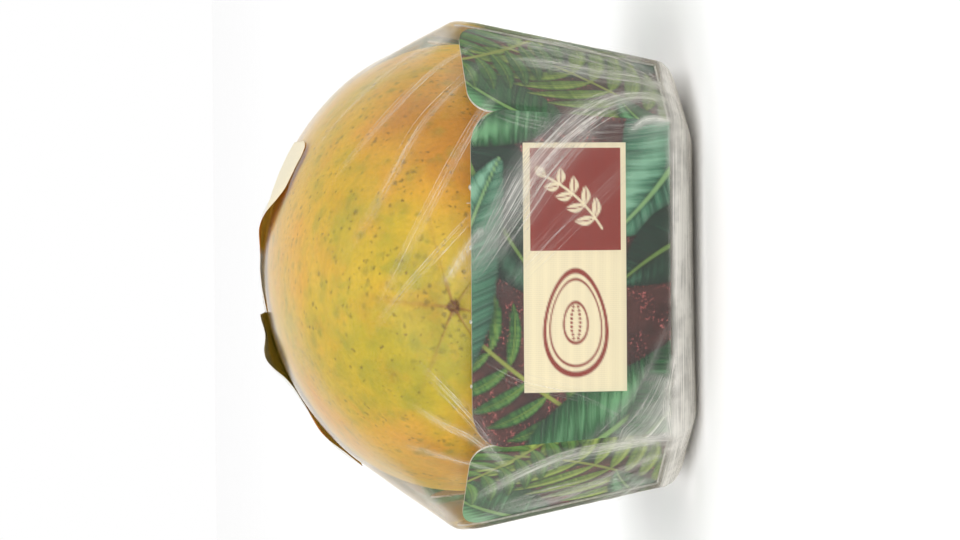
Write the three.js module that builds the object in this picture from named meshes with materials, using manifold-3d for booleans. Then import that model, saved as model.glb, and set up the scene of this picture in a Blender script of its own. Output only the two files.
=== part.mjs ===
// A papaya packed for sale: one whole fruit lying in a folded card tray, under clear
// stretch film, with a paper label stuck across the top of the film.
// Millimetres, +Z up. The fruit's length runs along Y, its blossom end towards -Y.
// The origin is on the resting surface, under the middle of the pack.
import * as THREE from "three";
import { ConvexHull } from "three/addons/math/ConvexHull.js";
import { mergeVertices } from "three/addons/utils/BufferGeometryUtils.js";
import Module from "manifold-3d";

const wasm = await Module();
wasm.setup();

// Fruit
const FRUIT_HALF_LENGTH = 88;
const FRUIT_HALF_WIDTH = 59.5;
const FRUIT_HALF_HEIGHT = 51.9;
const FRUIT_CENTRE = new THREE.Vector3(1.5, -3, 54.5);
const BLOSSOM_SHIFT = new THREE.Vector3(-8.5, 0, 8.5);
const STEM_SHIFT = new THREE.Vector3(1.5, 0, -1.5);
const SHIFT_POWER = 1.8;
const FRUIT_FLAT_Z = 3;
const FRUIT_SIDES = 50;
const FRUIT_RINGS = 30;
const POLE_RINGS = [0.012, 0.025, 0.045, 0.08, 0.13];
const WAIST_POWER = 0.9;
const LENGTH_POWER = 0.95;
const STEM_TAPER = 0.1;
const STEM_TAPER_POWER = 1.6;
const LOBES = 5;
const LOBE_TURN = 0.3;
const LOBE_SHARE = 0.004;
const BLOSSOM_LOBE_SHARE = 0.022;
const BLOSSOM_LOBE_POWER = 6;
const POLE_POWER = 20;
const DIMPLE_DEPTH = 2.2;
const DIMPLE_RADIUS = 9;
const SCAR_HEIGHT = 1.6;
const SCAR_RADIUS = 2.4;
const HOLLOW_DEPTH = 2.5;
const HOLLOW_RADIUS = 12;
const STALK_RADIUS = 5.5;
const STALK_LENGTH = 4.5;
const STALK_ROOT = 12;
const STALK_SIDES = 20;
const STALK_BEVEL = [0.8, 1];
const STALK_DIP = [1.6, 1.2];

// Tray, an eight-sided card tray whose walls lean out
const CARD = 0.6;
const FOLD_Z = 8.5;
const RIM_Z = 59;
const BASE_HALF = new THREE.Vector2(53.5, 84);
const RIM_HALF = new THREE.Vector2(64.5, 94);
const BASE_CORNER = 15;
const RIM_CORNER = 22.5;
const CORNER_SLOPE = 1.7;
const PANEL_ROUND = 10;
const CORNER_DROP = 6;
const BEND_EASE = 0.4;
const SIDE_DIP = 9.5;
const DIP_RUN = 16;
const TAB_WIDTH = 9;
const TAB_INSET = 0.6;
const TAB_LAP = 0.05;
const TAB_HEIGHTS = [0.05, 0.78, 0.88];
const SAG_Z = 1.6;
const SAG_START = 0.42;
const SAG_POWER = 1.3;
const FLOOR_RINGS = [0.2, 0.42, 0.55, 0.68, 0.8, 0.9, 0.998];
const FLOOR_STEP = 12;

// Film and label
const FILM = 0.6;
const FILM_GAP = 1.1;
const FILM_STEP = 9;
const FILM_DOME_ROWS = 15;
const DOME_ROW_POWER = 1.15;
const FILM_WALL_ROWS = [0.27, 0.54, 0.8, 0.87, 0.93, 0.97, 1];
const BELLY_ROWS = 5;
const BELLY_WIDTH = [14, 34];
const SLOT_HALF = new THREE.Vector2(5, 26);
const LABEL = 0.5;
const LABEL_GAP = 0.6;
const LABEL_CENTRE = new THREE.Vector2(-8, 11);
const LABEL_HALF = new THREE.Vector2(43, 25);
const LABEL_ROUND = 4;
const LABEL_STEPS = [28, 10];

const { PI, cos, sin, sqrt, abs, min, max, sign, hypot, atan2 } = Math;
const lerp = THREE.MathUtils.lerp;
const smoothstep = THREE.MathUtils.smoothstep;

// A geometry as a solid for joining and cutting.
function solidOf(geometry) {
  const bare = geometry.index ? geometry.toNonIndexed() : geometry.clone();
  bare.deleteAttribute("normal");
  bare.deleteAttribute("uv");
  const merged = mergeVertices(bare, 1e-4);
  return new wasm.Manifold(new wasm.Mesh({
    numProp: 3,
    vertProperties: merged.attributes.position.array,
    triVerts: new Uint32Array(merged.index.array),
  }));
}

// A solid back as a geometry.
function geometryOf(solid) {
  const mesh = solid.getMesh();
  const geometry = new THREE.BufferGeometry();
  geometry.setAttribute("position", new THREE.BufferAttribute(mesh.vertProperties, mesh.numProp));
  geometry.setIndex(new THREE.BufferAttribute(mesh.triVerts, 1));
  geometry.computeVertexNormals();
  return geometry;
}

// A closed surface from rings of points that all have the same count. Faces point out when
// the rings turn anticlockwise seen from the last ring's side.
function ringSurface(rings, joinsUp) {
  const sides = rings[0].length;
  const index = [];
  const last = joinsUp ? rings.length : rings.length - 1;
  for (let r = 0; r < last; r++) {
    const low = r * sides;
    const high = ((r + 1) % rings.length) * sides;
    for (let i = 0; i < sides; i++) {
      const j = (i + 1) % sides;
      index.push(low + i, low + j, high + j, low + i, high + j, high + i);
    }
  }
  const points = rings.flat();
  if (!joinsUp) {
    for (const [ring, turned] of [[0, true], [rings.length - 1, false]]) {
      const centre = rings[ring].reduce((sum, p) => sum.add(p), new THREE.Vector3());
      points.push(centre.divideScalar(sides));
      for (let i = 0; i < sides; i++) {
        const [a, b] = [ring * sides + i, ring * sides + ((i + 1) % sides)];
        index.push(points.length - 1, turned ? b : a, turned ? a : b);
      }
    }
  }
  const geometry = new THREE.BufferGeometry().setFromPoints(points);
  geometry.setIndex(index);
  return geometry;
}

// The fruit's skin. along is 0 at the stem end and PI at the blossom end.
function fruitPoint(along, around) {
  const reach = cos(along);
  const blossom = max(0, -reach);
  const stem = max(0, reach);
  const waist = sin(along) ** WAIST_POWER * (1 - STEM_TAPER * stem ** STEM_TAPER_POWER);
  const radius = waist * FRUIT_HALF_WIDTH;
  const lobeShare = LOBE_SHARE + BLOSSOM_LOBE_SHARE * blossom ** BLOSSOM_LOBE_POWER;
  const lobe = 1 + lobeShare * cos(LOBES * (around - LOBE_TURN));
  const bump = (height, spread) => height * Math.exp(-((radius / spread) ** 2));
  const dimple = blossom ** POLE_POWER
    * (bump(DIMPLE_DEPTH, DIMPLE_RADIUS) - bump(SCAR_HEIGHT, SCAR_RADIUS));
  const hollow = stem ** POLE_POWER * bump(HOLLOW_DEPTH, HOLLOW_RADIUS);
  const y = sign(reach) * abs(reach) ** LENGTH_POWER * FRUIT_HALF_LENGTH + dimple - hollow;
  const centre = FRUIT_CENTRE.clone()
    .addScaledVector(BLOSSOM_SHIFT, blossom ** SHIFT_POWER)
    .addScaledVector(STEM_SHIFT, stem ** SHIFT_POWER);
  const point = new THREE.Vector3(
    centre.x + cos(around) * waist * lobe * FRUIT_HALF_WIDTH,
    centre.y + y,
    centre.z + sin(around) * waist * lobe * FRUIT_HALF_HEIGHT,
  );
  point.z = max(point.z, FRUIT_FLAT_Z);
  return point;
}

// The whole fruit with the stub of its stalk.
function makeFruit() {
  const rings = [];
  const poles = POLE_RINGS.map((share) => share * PI / 2);
  const middle = Array.from({ length: FRUIT_RINGS },
    (_, i) => lerp(poles.at(-1), PI - poles.at(-1), (i + 1) / (FRUIT_RINGS + 1)));
  const steps = [...poles, ...middle, ...poles.map((p) => PI - p).reverse()];
  for (const along of steps) {
    rings.push(Array.from({ length: FRUIT_SIDES },
      (_, i) => fruitPoint(along, (i / FRUIT_SIDES) * 2 * PI)));
  }
  const body = solidOf(ringSurface(rings, false));
  const profile = [[0, -STALK_ROOT], [STALK_RADIUS, -STALK_ROOT],
    [STALK_RADIUS, STALK_LENGTH - STALK_BEVEL[1]], [STALK_RADIUS - STALK_BEVEL[0], STALK_LENGTH],
    [STALK_DIP[0], STALK_LENGTH], [0, STALK_LENGTH - STALK_DIP[1]]];
  const stalk = new THREE.LatheGeometry(
    profile.map(([r, h]) => new THREE.Vector2(r, h)), STALK_SIDES);
  const foot = fruitPoint(poles[0], 0);
  stalk.translate(FRUIT_CENTRE.x + STEM_SHIFT.x, foot.y, FRUIT_CENTRE.z + STEM_SHIFT.z);
  return body.add(solidOf(stalk));
}

// Corners of the tray's eight-sided outline at a height share, from the +X side's front end.
function outline(share) {
  const halfX = lerp(BASE_HALF.x, RIM_HALF.x, share);
  const halfY = lerp(BASE_HALF.y, RIM_HALF.y, share);
  const cut = lerp(BASE_CORNER, RIM_CORNER, share);
  const back = cut * CORNER_SLOPE;
  return [[halfX, -halfY + back], [halfX, halfY - back], [halfX - cut, halfY], [cut - halfX, halfY],
    [-halfX, halfY - back], [-halfX, back - halfY], [cut - halfX, -halfY], [halfX - cut, -halfY]]
    .map(([x, y]) => new THREE.Vector3(x, y, lerp(FOLD_Z, RIM_Z, share)));
}

// A flat card panel from its outline in the panel's own plane, thick towards the inside.
function panel(shape, origin, across, up, setBack) {
  const out = new THREE.Vector3().crossVectors(across, up).normalize();
  const body = new THREE.ExtrudeGeometry(shape, { depth: CARD, bevelEnabled: false, curveSegments: 6 });
  const place = new THREE.Matrix4().makeBasis(across, up, out);
  place.setPosition(origin.clone().addScaledVector(out, -CARD - setBack));
  body.applyMatrix4(place);
  return solidOf(body);
}

// A wall's outline, wider at the top, with its two upper corners rounded. The top edge of a
// long side dips between its ends.
function wallShape(bottom, top, height, drop, dip) {
  const [b, t] = [bottom / 2, top / 2];
  const shoulder = lerp(b, t, 1 - drop / height);
  const eased = PANEL_ROUND * BEND_EASE;
  const shape = new THREE.Shape();
  shape.moveTo(-b, 0);
  shape.lineTo(b, 0);
  shape.lineTo(shoulder, height - drop);
  shape.bezierCurveTo(t, height - drop * BEND_EASE, t - eased, height, t - PANEL_ROUND, height);
  if (dip > 0) {
    const flat = t - PANEL_ROUND - DIP_RUN;
    const turn = flat + DIP_RUN / 2;
    shape.bezierCurveTo(turn, height, turn, height - dip, flat, height - dip);
    shape.lineTo(-flat, height - dip);
    shape.bezierCurveTo(-turn, height - dip, -turn, height, PANEL_ROUND - t, height);
  } else {
    shape.lineTo(PANEL_ROUND - t, height);
  }
  shape.bezierCurveTo(eased - t, height, -t, height - drop * BEND_EASE, -shoulder, height - drop);
  return shape;
}

// A glue tab's outline behind one end of a wall, which runs from foot up to head there.
function tabShape(side, foot, head, height) {
  const [low, inner, outer] = TAB_HEIGHTS;
  const tab = new THREE.Shape();
  tab.moveTo(foot - side * TAB_INSET, 0);
  tab.lineTo(lerp(foot, head, outer) - side * TAB_INSET, height * outer);
  tab.lineTo(lerp(foot, head, inner) - side * TAB_WIDTH, height * inner);
  tab.lineTo(foot - side * TAB_WIDTH, height * low);
  return tab;
}

// Eight walls: 0 and 4 are the long sides, 2 and 6 the ends, and the odd ones the corner
// panels, which lie over glue tabs at the ends of their neighbours.
function makeWalls() {
  const low = outline(0);
  const high = outline(1);
  const solids = [];
  for (let k = 0; k < 8; k++) {
    const [a, b] = [low[k], low[(k + 1) % 8]];
    const [c, d] = [high[k], high[(k + 1) % 8]];
    const across = b.clone().sub(a).normalize();
    const footMiddle = a.clone().add(b).divideScalar(2);
    const rise = c.clone().add(d).divideScalar(2).sub(footMiddle);
    const height = rise.length();
    const up = rise.clone().normalize();
    const corner = k % 2 === 1;
    const drop = corner ? CORNER_DROP : PANEL_ROUND;
    const dip = k % 4 === 0 ? SIDE_DIP : 0;
    const shape = wallShape(a.distanceTo(b), c.distanceTo(d), height, drop, dip);
    solids.push(panel(shape, footMiddle, across, up, corner ? CARD : 0));
    if (!corner) {
      for (const side of [-1, 1]) {
        const tab = tabShape(side, side * a.distanceTo(b) / 2, side * c.distanceTo(d) / 2, height);
        solids.push(panel(tab, footMiddle, across, up, CARD - TAB_LAP));
      }
    }
  }
  return solids;
}

// The height of the tray's floor at a share of the way from its middle to its edge. The
// fruit's weight bows it down.
function floorHeight(share) {
  return lerp(SAG_Z, FOLD_Z, smoothstep(share, SAG_START, 1) ** SAG_POWER);
}

// The bowed floor panel.
function makeFloor() {
  const edge = outline(0);
  const perimeter = [];
  edge.forEach((a, k) => {
    const b = edge[(k + 1) % 8];
    const steps = max(2, Math.round(a.distanceTo(b) / FLOOR_STEP));
    for (let i = 0; i < steps; i++) perimeter.push(a.clone().lerp(b, i / steps));
  });
  const ring = (share, lift) => perimeter.map((p) => new THREE.Vector3(
    p.x * share, p.y * share, floorHeight(share) + lift));
  const under = FLOOR_RINGS.map((share) => ring(share, 0));
  const over = FLOOR_RINGS.map((share) => ring(share, CARD)).reverse();
  return solidOf(ringSurface([...under, ...over], false));
}

function makeTray() {
  return wasm.Manifold.union([makeFloor(), ...makeWalls()]);
}

// The flat sides of the tightest wrap round some solids, as [normal, distance] pairs.
function wrapPlanes(solids) {
  const points = solids.flatMap((solid) => {
    const mesh = solid.getMesh();
    return Array.from({ length: mesh.numVert },
      (_, i) => new THREE.Vector3().fromArray(mesh.vertProperties, i * mesh.numProp));
  });
  return new ConvexHull().setFromPoints(points).faces.map((face) => [face.normal, face.constant]);
}

// How far a ray runs before it meets the wrap, moved out by gap.
function wrapReach(planes, from, towards, gap) {
  let reach = Infinity;
  for (const [normal, distance] of planes) {
    const speed = normal.dot(towards);
    if (speed > 1e-9) reach = min(reach, (distance + gap - normal.dot(from)) / speed);
  }
  return reach;
}

// Where the film's columns lie along the tray's outline: at each corner, at each end of a
// wall's straight top edge, and evenly in between.
function columnShares() {
  const rim = outline(1);
  return rim.flatMap((a, k) => {
    const length = a.distanceTo(rim[(k + 1) % 8]);
    const round = PANEL_ROUND / length;
    const steps = max(2, Math.round((length - 2 * PANEL_ROUND) / FILM_STEP));
    const straight = Array.from({ length: steps + 1 }, (_, i) => lerp(round, 1 - round, i / steps));
    return [0, round / 2, ...straight, 1 - round / 2].map((share) => [k, share]);
  });
}

// The bearings of the film's columns at a height share of the wall.
function columnAngles(share) {
  const corners = outline(share);
  return columnShares().map(([k, along]) => {
    const point = corners[k].clone().lerp(corners[(k + 1) % 8], along);
    return atan2(point.y, point.x);
  });
}

// One face of the film as rings from the slot underneath to the top of the dome.
function filmRings(planes, gap) {
  const rings = [];
  const ray = (angle, tilt) => new THREE.Vector3(
    cos(angle) * cos(tilt), sin(angle) * cos(tilt), sin(tilt));
  const level = (angle, z) => wrapReach(planes, new THREE.Vector3(0, 0, z), ray(angle, 0), gap);
  const lift = FILM + FILM_GAP - gap;
  const at = (angle, reach, z) => new THREE.Vector3(cos(angle) * reach, sin(angle) * reach, z);
  const slotReach = (angle) => 1 / hypot(cos(angle) / SLOT_HALF.x, sin(angle) / SLOT_HALF.y);
  const bellyWidth = (angle) => lerp(...BELLY_WIDTH, (1 + cos(angle)) / 2);
  const low = columnAngles(0);
  rings.push(low.map((a) => at(a, slotReach(a), lift)));
  for (let row = 0; row <= BELLY_ROWS; row++) {
    const turn = (row / BELLY_ROWS) * (PI / 2);
    rings.push(low.map((a) => {
      const inset = bellyWidth(a) * (1 - sin(turn));
      return at(a, level(a, FOLD_Z) - inset, lift + (FOLD_Z - lift) * (1 - cos(turn)));
    }));
  }
  for (const share of FILM_WALL_ROWS) {
    const z = lerp(FOLD_Z, RIM_Z, share);
    rings.push(columnAngles(share).map((a) => at(a, level(a, z), z)));
  }
  const eye = new THREE.Vector3(0, 0, RIM_Z);
  for (let row = 1; row < FILM_DOME_ROWS; row++) {
    const tilt = (row / FILM_DOME_ROWS) ** DOME_ROW_POWER * (PI / 2);
    rings.push(columnAngles(1).map((a) => {
      const towards = ray(a, tilt);
      return eye.clone().addScaledVector(towards, wrapReach(planes, eye, towards, gap));
    }));
  }
  return rings;
}

// The film is a thin shell whose only way in is the slot left between its folded ends.
function makeFilm(planes) {
  const outer = filmRings(planes, FILM_GAP + FILM);
  const inner = filmRings(planes, FILM_GAP);
  const sides = outer[0].length;
  const index = [];
  const points = [...outer.flat(), ...inner.flat()];
  const offset = outer.length * sides;
  const quad = (a, b, c, d) => index.push(a, b, c, a, c, d);
  for (let i = 0; i < sides; i++) {
    const j = (i + 1) % sides;
    for (let r = 0; r < outer.length - 1; r++) {
      quad(r * sides + i, r * sides + j, (r + 1) * sides + j, (r + 1) * sides + i);
      quad(offset + r * sides + j, offset + r * sides + i,
        offset + (r + 1) * sides + i, offset + (r + 1) * sides + j);
    }
    quad(offset + i, offset + j, j, i);
  }
  const up = new THREE.Vector3(0, 0, 1);
  const eye = new THREE.Vector3(0, 0, RIM_Z);
  for (const [base, gap, turned] of [[0, FILM_GAP + FILM, false], [offset, FILM_GAP, true]]) {
    points.push(eye.clone().addScaledVector(up, wrapReach(planes, eye, up, gap)));
    const top = base + (outer.length - 1) * sides;
    for (let i = 0; i < sides; i++) {
      const [a, b] = [top + i, top + ((i + 1) % sides)];
      index.push(points.length - 1, turned ? b : a, turned ? a : b);
    }
  }
  const geometry = new THREE.BufferGeometry().setFromPoints(points);
  geometry.setIndex(index);
  return solidOf(geometry);
}

// The label lies on the film, across the top of the fruit, with round corners.
function makeLabel(planes) {
  const [columns, rows] = LABEL_STEPS;
  const up = new THREE.Vector3(0, 0, 1);
  const height = (x, y, gap) => wrapReach(planes, new THREE.Vector3(x, y, 0), up, gap);
  const place = (i, j) => {
    const y = LABEL_HALF.y * sin(lerp(-PI / 2, PI / 2, j / rows));
    const over = max(0, abs(y) - (LABEL_HALF.y - LABEL_ROUND));
    const shrink = LABEL_ROUND - sqrt(max(0, LABEL_ROUND ** 2 - over ** 2));
    const x = lerp(-1, 1, i / columns) * (LABEL_HALF.x - shrink);
    return [LABEL_CENTRE.x + x, LABEL_CENTRE.y + y];
  };
  const base = FILM_GAP + FILM + LABEL_GAP;
  const points = [];
  for (const gap of [base, base + LABEL]) {
    for (let j = 0; j <= rows; j++) {
      for (let i = 0; i <= columns; i++) {
        const [x, y] = place(i, j);
        points.push(new THREE.Vector3(x, y, height(x, y, gap)));
      }
    }
  }
  const wide = columns + 1;
  const layer = wide * (rows + 1);
  const index = [];
  const quad = (a, b, c, d) => index.push(a, b, c, a, c, d);
  for (let j = 0; j < rows; j++) {
    for (let i = 0; i < columns; i++) {
      const a = j * wide + i;
      quad(a + wide, a + wide + 1, a + 1, a);
      quad(layer + a, layer + a + 1, layer + a + wide + 1, layer + a + wide);
    }
  }
  const rim = [];
  for (let i = 0; i < columns; i++) rim.push(i);
  for (let j = 0; j < rows; j++) rim.push(j * wide + columns);
  for (let i = columns; i > 0; i--) rim.push(rows * wide + i);
  for (let j = rows; j > 0; j--) rim.push(j * wide);
  rim.forEach((a, n) => {
    const b = rim[(n + 1) % rim.length];
    quad(a, b, layer + b, layer + a);
  });
  const geometry = new THREE.BufferGeometry().setFromPoints(points);
  geometry.setIndex(index);
  return solidOf(geometry);
}

function makeMesh(name, solid, colour, roughness) {
  const material = new THREE.MeshStandardMaterial({ color: colour, roughness, metalness: 0 });
  const mesh = new THREE.Mesh(geometryOf(solid), material);
  mesh.name = name;
  return mesh;
}

const fruit = makeFruit();
const tray = makeTray();
const planes = wrapPlanes([fruit, tray]);
const film = makeMesh("film", makeFilm(planes), 0xe8ebe6, 0.2);
film.material.transparent = true;
film.material.opacity = 0.25;

const pack = new THREE.Group();
pack.name = "papaya_pack";
pack.add(
  makeMesh("papaya", fruit, 0xd9a93a, 0.45),
  makeMesh("tray", tray, 0x2f6b4a, 0.6),
  film,
  makeMesh("label", makeLabel(planes), 0xf1ead0, 0.7),
);

export default pack;
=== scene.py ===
"""Looks of a papaya packed for sale: the fruit, its printed card tray, the film and the label.

Sizes are millimetres as the things were grown, cut and folded, and meshes are made in metres.
The pack stands upright in its own frame. The photograph is turned a quarter turn, so the
camera is rolled.
"""
import math

import bmesh
import bpy
import numpy as np
from mathutils import Matrix, Vector


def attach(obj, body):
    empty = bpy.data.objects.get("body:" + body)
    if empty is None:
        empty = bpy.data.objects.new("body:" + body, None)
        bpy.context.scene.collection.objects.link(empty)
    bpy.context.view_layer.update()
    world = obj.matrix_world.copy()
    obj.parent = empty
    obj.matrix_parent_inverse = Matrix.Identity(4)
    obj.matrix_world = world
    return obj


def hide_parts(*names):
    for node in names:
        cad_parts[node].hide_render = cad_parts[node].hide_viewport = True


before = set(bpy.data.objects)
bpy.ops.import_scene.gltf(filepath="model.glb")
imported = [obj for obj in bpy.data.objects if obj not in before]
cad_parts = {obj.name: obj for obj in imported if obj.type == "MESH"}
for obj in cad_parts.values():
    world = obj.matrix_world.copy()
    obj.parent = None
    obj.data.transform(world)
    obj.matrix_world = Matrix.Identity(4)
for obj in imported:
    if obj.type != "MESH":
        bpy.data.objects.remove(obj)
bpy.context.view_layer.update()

MM = 0.001

# Camera, in pixels of the photograph's 960 x 540 frame, degrees and metres
FRAME_PIXELS = (960, 540)
FOCAL_PIXELS = 3705
TARGET_PIXEL = (449.5, 272.2)
SENSOR_MM = 36
CAMERA_TARGET = Vector((0, 0, 0.057))
CAMERA_DISTANCE = 1.0
CAMERA_ELEVATION = 4.5
PACK_YAW = -1.04
CAMERA_ROLL = -0.5

# Stage, in metres, with each lamp's name, place, size and watts
FLOOR_SIZE = 16
LAMPS = (("front", (-0.4, -2.4, 0.95), 2.6, 25.0), ("top", (0.3, 0.2, 2.6), 2.6, 12.0))

# Fruit
FRUIT_HALF = (59.5, 88.0, 51.9)
FRUIT_CENTRE = np.array([1.5, -3.0, 54.5])
BLOSSOM_SHIFT = np.array([-8.5, 0.0, 8.5])
STEM_SHIFT = np.array([1.5, 0.0, -1.5])
SHIFT_POWER = 1.8
FRUIT_FLAT_Z = 3.0
WAIST_POWER = 0.9
LENGTH_POWER = 0.95
STEM_TAPER = 0.1
STEM_TAPER_POWER = 1.6
LOBES = 5
LOBE_TURN = 0.3
LOBE_SHARE = 0.004
BLOSSOM_LOBE_SHARE = 0.022
BLOSSOM_LOBE_POWER = 6
POLE_POWER = 20
# How deep and how wide
DIMPLE = (2.2, 9.0)
SCAR = (1.6, 2.4)
HOLLOW = (2.5, 12.0)
FRUIT_SIDES = 320
FRUIT_RINGS = 190
FRUIT_POLE_RINGS = 48
POLE_SPAN = 0.3

# Where the seams run out from the scar, as turns in radians, and how wide and long they are
SEAM_TURNS = (0.35, 1.5, 2.7, 3.75, 4.5, 5.6)
SEAM_WIDTH = 0.5
SEAM_RUN = 12.0
SEAM_DEEP = 0.24
CRUMBS_HIGH = 0.34

# Stalk, with the heights of its rings and how wide it is at each
STALK_RADIUS = 5.5
STALK_LENGTH = 4.5
STALK_SIDES = 60
STALK_RINGS = ((-7, 1.25), (-3, 1.2), (0, 1.12), (1.2, 1.04), (2.6, 1.0), (3.6, 1.0),
               (STALK_LENGTH, 0.9), (STALK_LENGTH - 0.2, 0.62), (STALK_LENGTH - 0.5, 0.25))

# Warm, green and rusty patches of the skin: where on the fruit, how wide in millimetres, and
# how strong. The strong warm patches low at the front, by the tray's rim, are partly ripening
# colour and partly painted shade from the tray's wall.
BLUSH_AND_RIM_SHADE_SPOTS = (((36, -70, 61), 24, 1.1), ((13, -38, 98), 22, 0.55), ((-34, -45, 93), 20, 0.6),
               ((-43, -62, 57), 20, 0.95), ((54, -34, 62), 24, 0.5), ((40, 30, 90), 40, 0.5),
               ((-50, 40, 60), 36, 0.5), ((0, 70, 90), 30, 0.5), ((10, -60, 20), 34, 0.7))
GREEN_SPOTS = (((-7, -87, 70), 24, 0.6), ((6, -80, 80), 20, 0.4), ((24, -50, 92), 14, 0.5),
               ((44, -45, 81), 16, 0.5), ((-18, -80, 76), 24, 0.5), ((-30, -74, 66), 16, 0.35),
               ((-6, -50, 101), 20, 0.45), ((-24, -50, 96), 16, 0.25), ((50, 10, 40), 30, 0.6),
               ((-50, 0, 90), 24, 0.6), ((10, 80, 50), 34, 0.9), ((0, 20, 106), 22, 0.4))
RUST_SPOTS = (((-5, -88, 68), 2.6, 0.55), ((-8, -87, 72), 2.2, 0.5), ((-2, -88, 66), 1.4, 0.4),
              ((16, -44, 99), 1.5, 0.5), ((3, -52, 99), 1.2, 0.7))

# Freckles in layers: how many a millimetre, how big against their gaps, which share of them is
# left out, how strong they are, and their colour
FRECKLES = ((0.16, 0.46, 0.35, 0.5, (150, 146, 44)), (0.3, 0.44, 0.35, 0.45, (134, 128, 42)),
            (0.36, 0.34, 0.25, 0.62, (104, 92, 34)), (0.6, 0.34, 0.4, 0.66, (106, 78, 32)))

# Tray, an eight-sided card tray whose walls lean out
CARD = 0.45
FOLD_Z = 8.5
RIM_Z = 59.0
BASE_HALF = (53.5, 84.0)
RIM_HALF = (64.5, 94.0)
BASE_CORNER = 15.0
RIM_CORNER = 22.5
CORNER_SLOPE = 1.7
CORNER_SETBACK = CARD + 0.15
PANEL_ROUND = 10.0
CORNER_DROP = 6.0
BEND_EASE = 0.4
BEND_STEPS = 24
SIDE_DIP = 9.5
DIP_RUN = 16.0
TAB_WIDTH = 9.0
TAB_GAP = 0.02
TAB_INSET = 0.6
SAG_Z = 1.6
SAG_START = 0.42
SAG_POWER = 1.3
FLOOR_RINGS = 26
FLOOR_SIDE_STEPS = 24

# Grid steps of the printed walls, and how close to a printed edge its grid lines lie
FINE_PRINT = 0.34
COARSE_PRINT = 0.6
LINE_GAP = 0.02

# Where the die left a torn nick along a wall's straight top edge, from its middle, and how big.
# The last is a single long fibre.
NICKS = ((-0.82, 0.62), (-0.33, 0.7), (0.24, 0.65), (0.7, 0.75), (0.58, 1.2))
NICKED_WALLS = (6, 0, 4, 2)
NICK_SIDES = 9
NICK_RINGS = 6

# Printed block on the front wall, in the wall's own plane: across from its middle, and up
BLOCK_ACROSS = (-28.2, 33.3)
BLOCK_UP = (11.6, 38.2)
BRICK_ACROSS = (6.7, 32.0)
BRICK_UP = (13.0, 36.4)
CREAM = (236, 226, 194)
BRICK = (140, 50, 40)
SPRIG_FOOT = (-7.5, -7)
SPRIG_TIP = (6, 8.5)
SPRIG_BEND = -1.6
SPRIG_LEAN = 0.85
CUT_FRUIT_PLACE = (-11.1, 24.8)
# Rings of the cut fruit: how far out and how thick
CUT_FRUIT_RINGS = ((7.9, 0.42), (6.6, 0.2), (3.1, 0.24))

# Leaf colours: dark, middle and light
TEAL = ((28, 68, 52), (70, 124, 96), (134, 182, 154))
FOREST = ((14, 42, 26), (38, 96, 52), (112, 168, 120))
DEEP = ((10, 26, 20), (24, 54, 40), (54, 98, 74))
LIME = ((44, 78, 28), (100, 134, 44), (172, 192, 90))
MOSS = ((20, 54, 28), (52, 104, 46), (108, 152, 72))

# Film
FILM_GAP = 1.1
FILM_FLOOR = 0.06
PIXEL = 0.256
MARK_WIDTH = 0.9
EYE = np.array([0.0, 0.0, RIM_Z])
# How far the film's belly curves in under the tray at its left and at its right
BELLY = (14, 34)
# Half sizes of the slot that the folded film leaves underneath
SLOT_HALF = (3, 20)
FILM_TINT = (0.965, 0.94, 0.88, 1)
FILM_GLOSS = (1, 0.965, 0.9, 1)
FILM_CLEAR = (0.99, 0.99, 0.985, 1)
FILM_IOR = 1.24
FILM_THROUGH = 0.32
CLEAR_HAZE = 0.012
MOST_HAZE = 0.96
WING_HAZE = 0.34
# Crumpled knots low on the corners: across, deep, up and how wide
KNOT = (43, 82, 7, 7.5)
STRAND_LIFT = 0.42
STRAND_WIDTHS = ([0.09, 0.14, 0.22, 0.4], [0.44, 0.34, 0.18, 0.04])
STRAND_SPREAD = np.array([-1, -0.35, 0.35, 1])
RAYS_AT_ONCE = 4000
POINTS_AT_ONCE = 8000
# Grid steps along the rim, finer on the sides that the photograph shows, and rows of the film's
# flat foot, its belly, its walls and its dome
RIM_STEPS = {6: 0.55, 5: 0.62, 7: 0.62}
RIM_STEP = 1.7
FILM_ROWS = (10, 18, 58, 88)

# Label
LABEL_ACROSS = (-51.0, 35.0)
LABEL_DEEP = (-14.0, 36.0)
LABEL_GRID = (175, 84)
LABEL_ROUND = 4.0
LABEL_PAPER = 0.12
SLIT_X = -10.0
SLIT_DEEP = 13.0
SLIT_HALF = 0.12
# The front edge runs further forward at one end
FORWARD = 20.0
FORWARD_RUN = (9.0, 27.0)
# Loose parts of the front edge, each with its place across, its width and how far the paper
# stands off there, some of them on the far side of the slit alone
LOOSE_PARTS = ((16.0, 7.0, 2.2), (2.0, 8.0, 0.7), (-45.0, 5.0, 1.0))
SLIT_PARTS = ((-22.0, 6.0, 3.7), (-11.0, 4.5, 1.8))
# What the label shows: from and to across, from and to deep, and colour
LABEL_BAND = ((-46, 14), (22, 30), (92, 104, 60))
SHORT_MARKS = [((x - 0.45, x + 0.45), deep, (92, 90, 84))
               for x, *deep in ((-4.2, -9, -6.5), (-5.6, -10.5, -7), (-7.4, -8, -3), (-32, -9, -4),
                                (-34, -11, -5), (-35.4, -9, -5))]
LONG_MARKS = [((-8, 12), (y - 0.35, y + 0.35), (120, 112, 90)) for y in (4, 9)]


def linear(r, g, b):
    """A colour given as 0 to 255 values, as linear light."""
    channels = np.array([r, g, b]) / 255
    return np.where(channels <= 0.04045, channels / 12.92, ((channels + 0.055) / 1.055) ** 2.4)


def tint(rgb, share, colour):
    """Lays a picked colour over an array of colours where share is 1."""
    rgb += (linear(*colour) - rgb) * share[:, None]


def smooth(value, low, high):
    """0 below low, 1 above high and a soft step between them."""
    share = np.clip((value - low) / (high - low), 0, 1)
    return share * share * (3 - 2 * share)


def soft(room, blur):
    """1 well inside an edge and 0 well outside it. room is the distance to it."""
    return np.clip(room / blur + 0.5, 0, 1)


def bell(away, width):
    return np.exp(-((away / width) ** 2))


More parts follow.
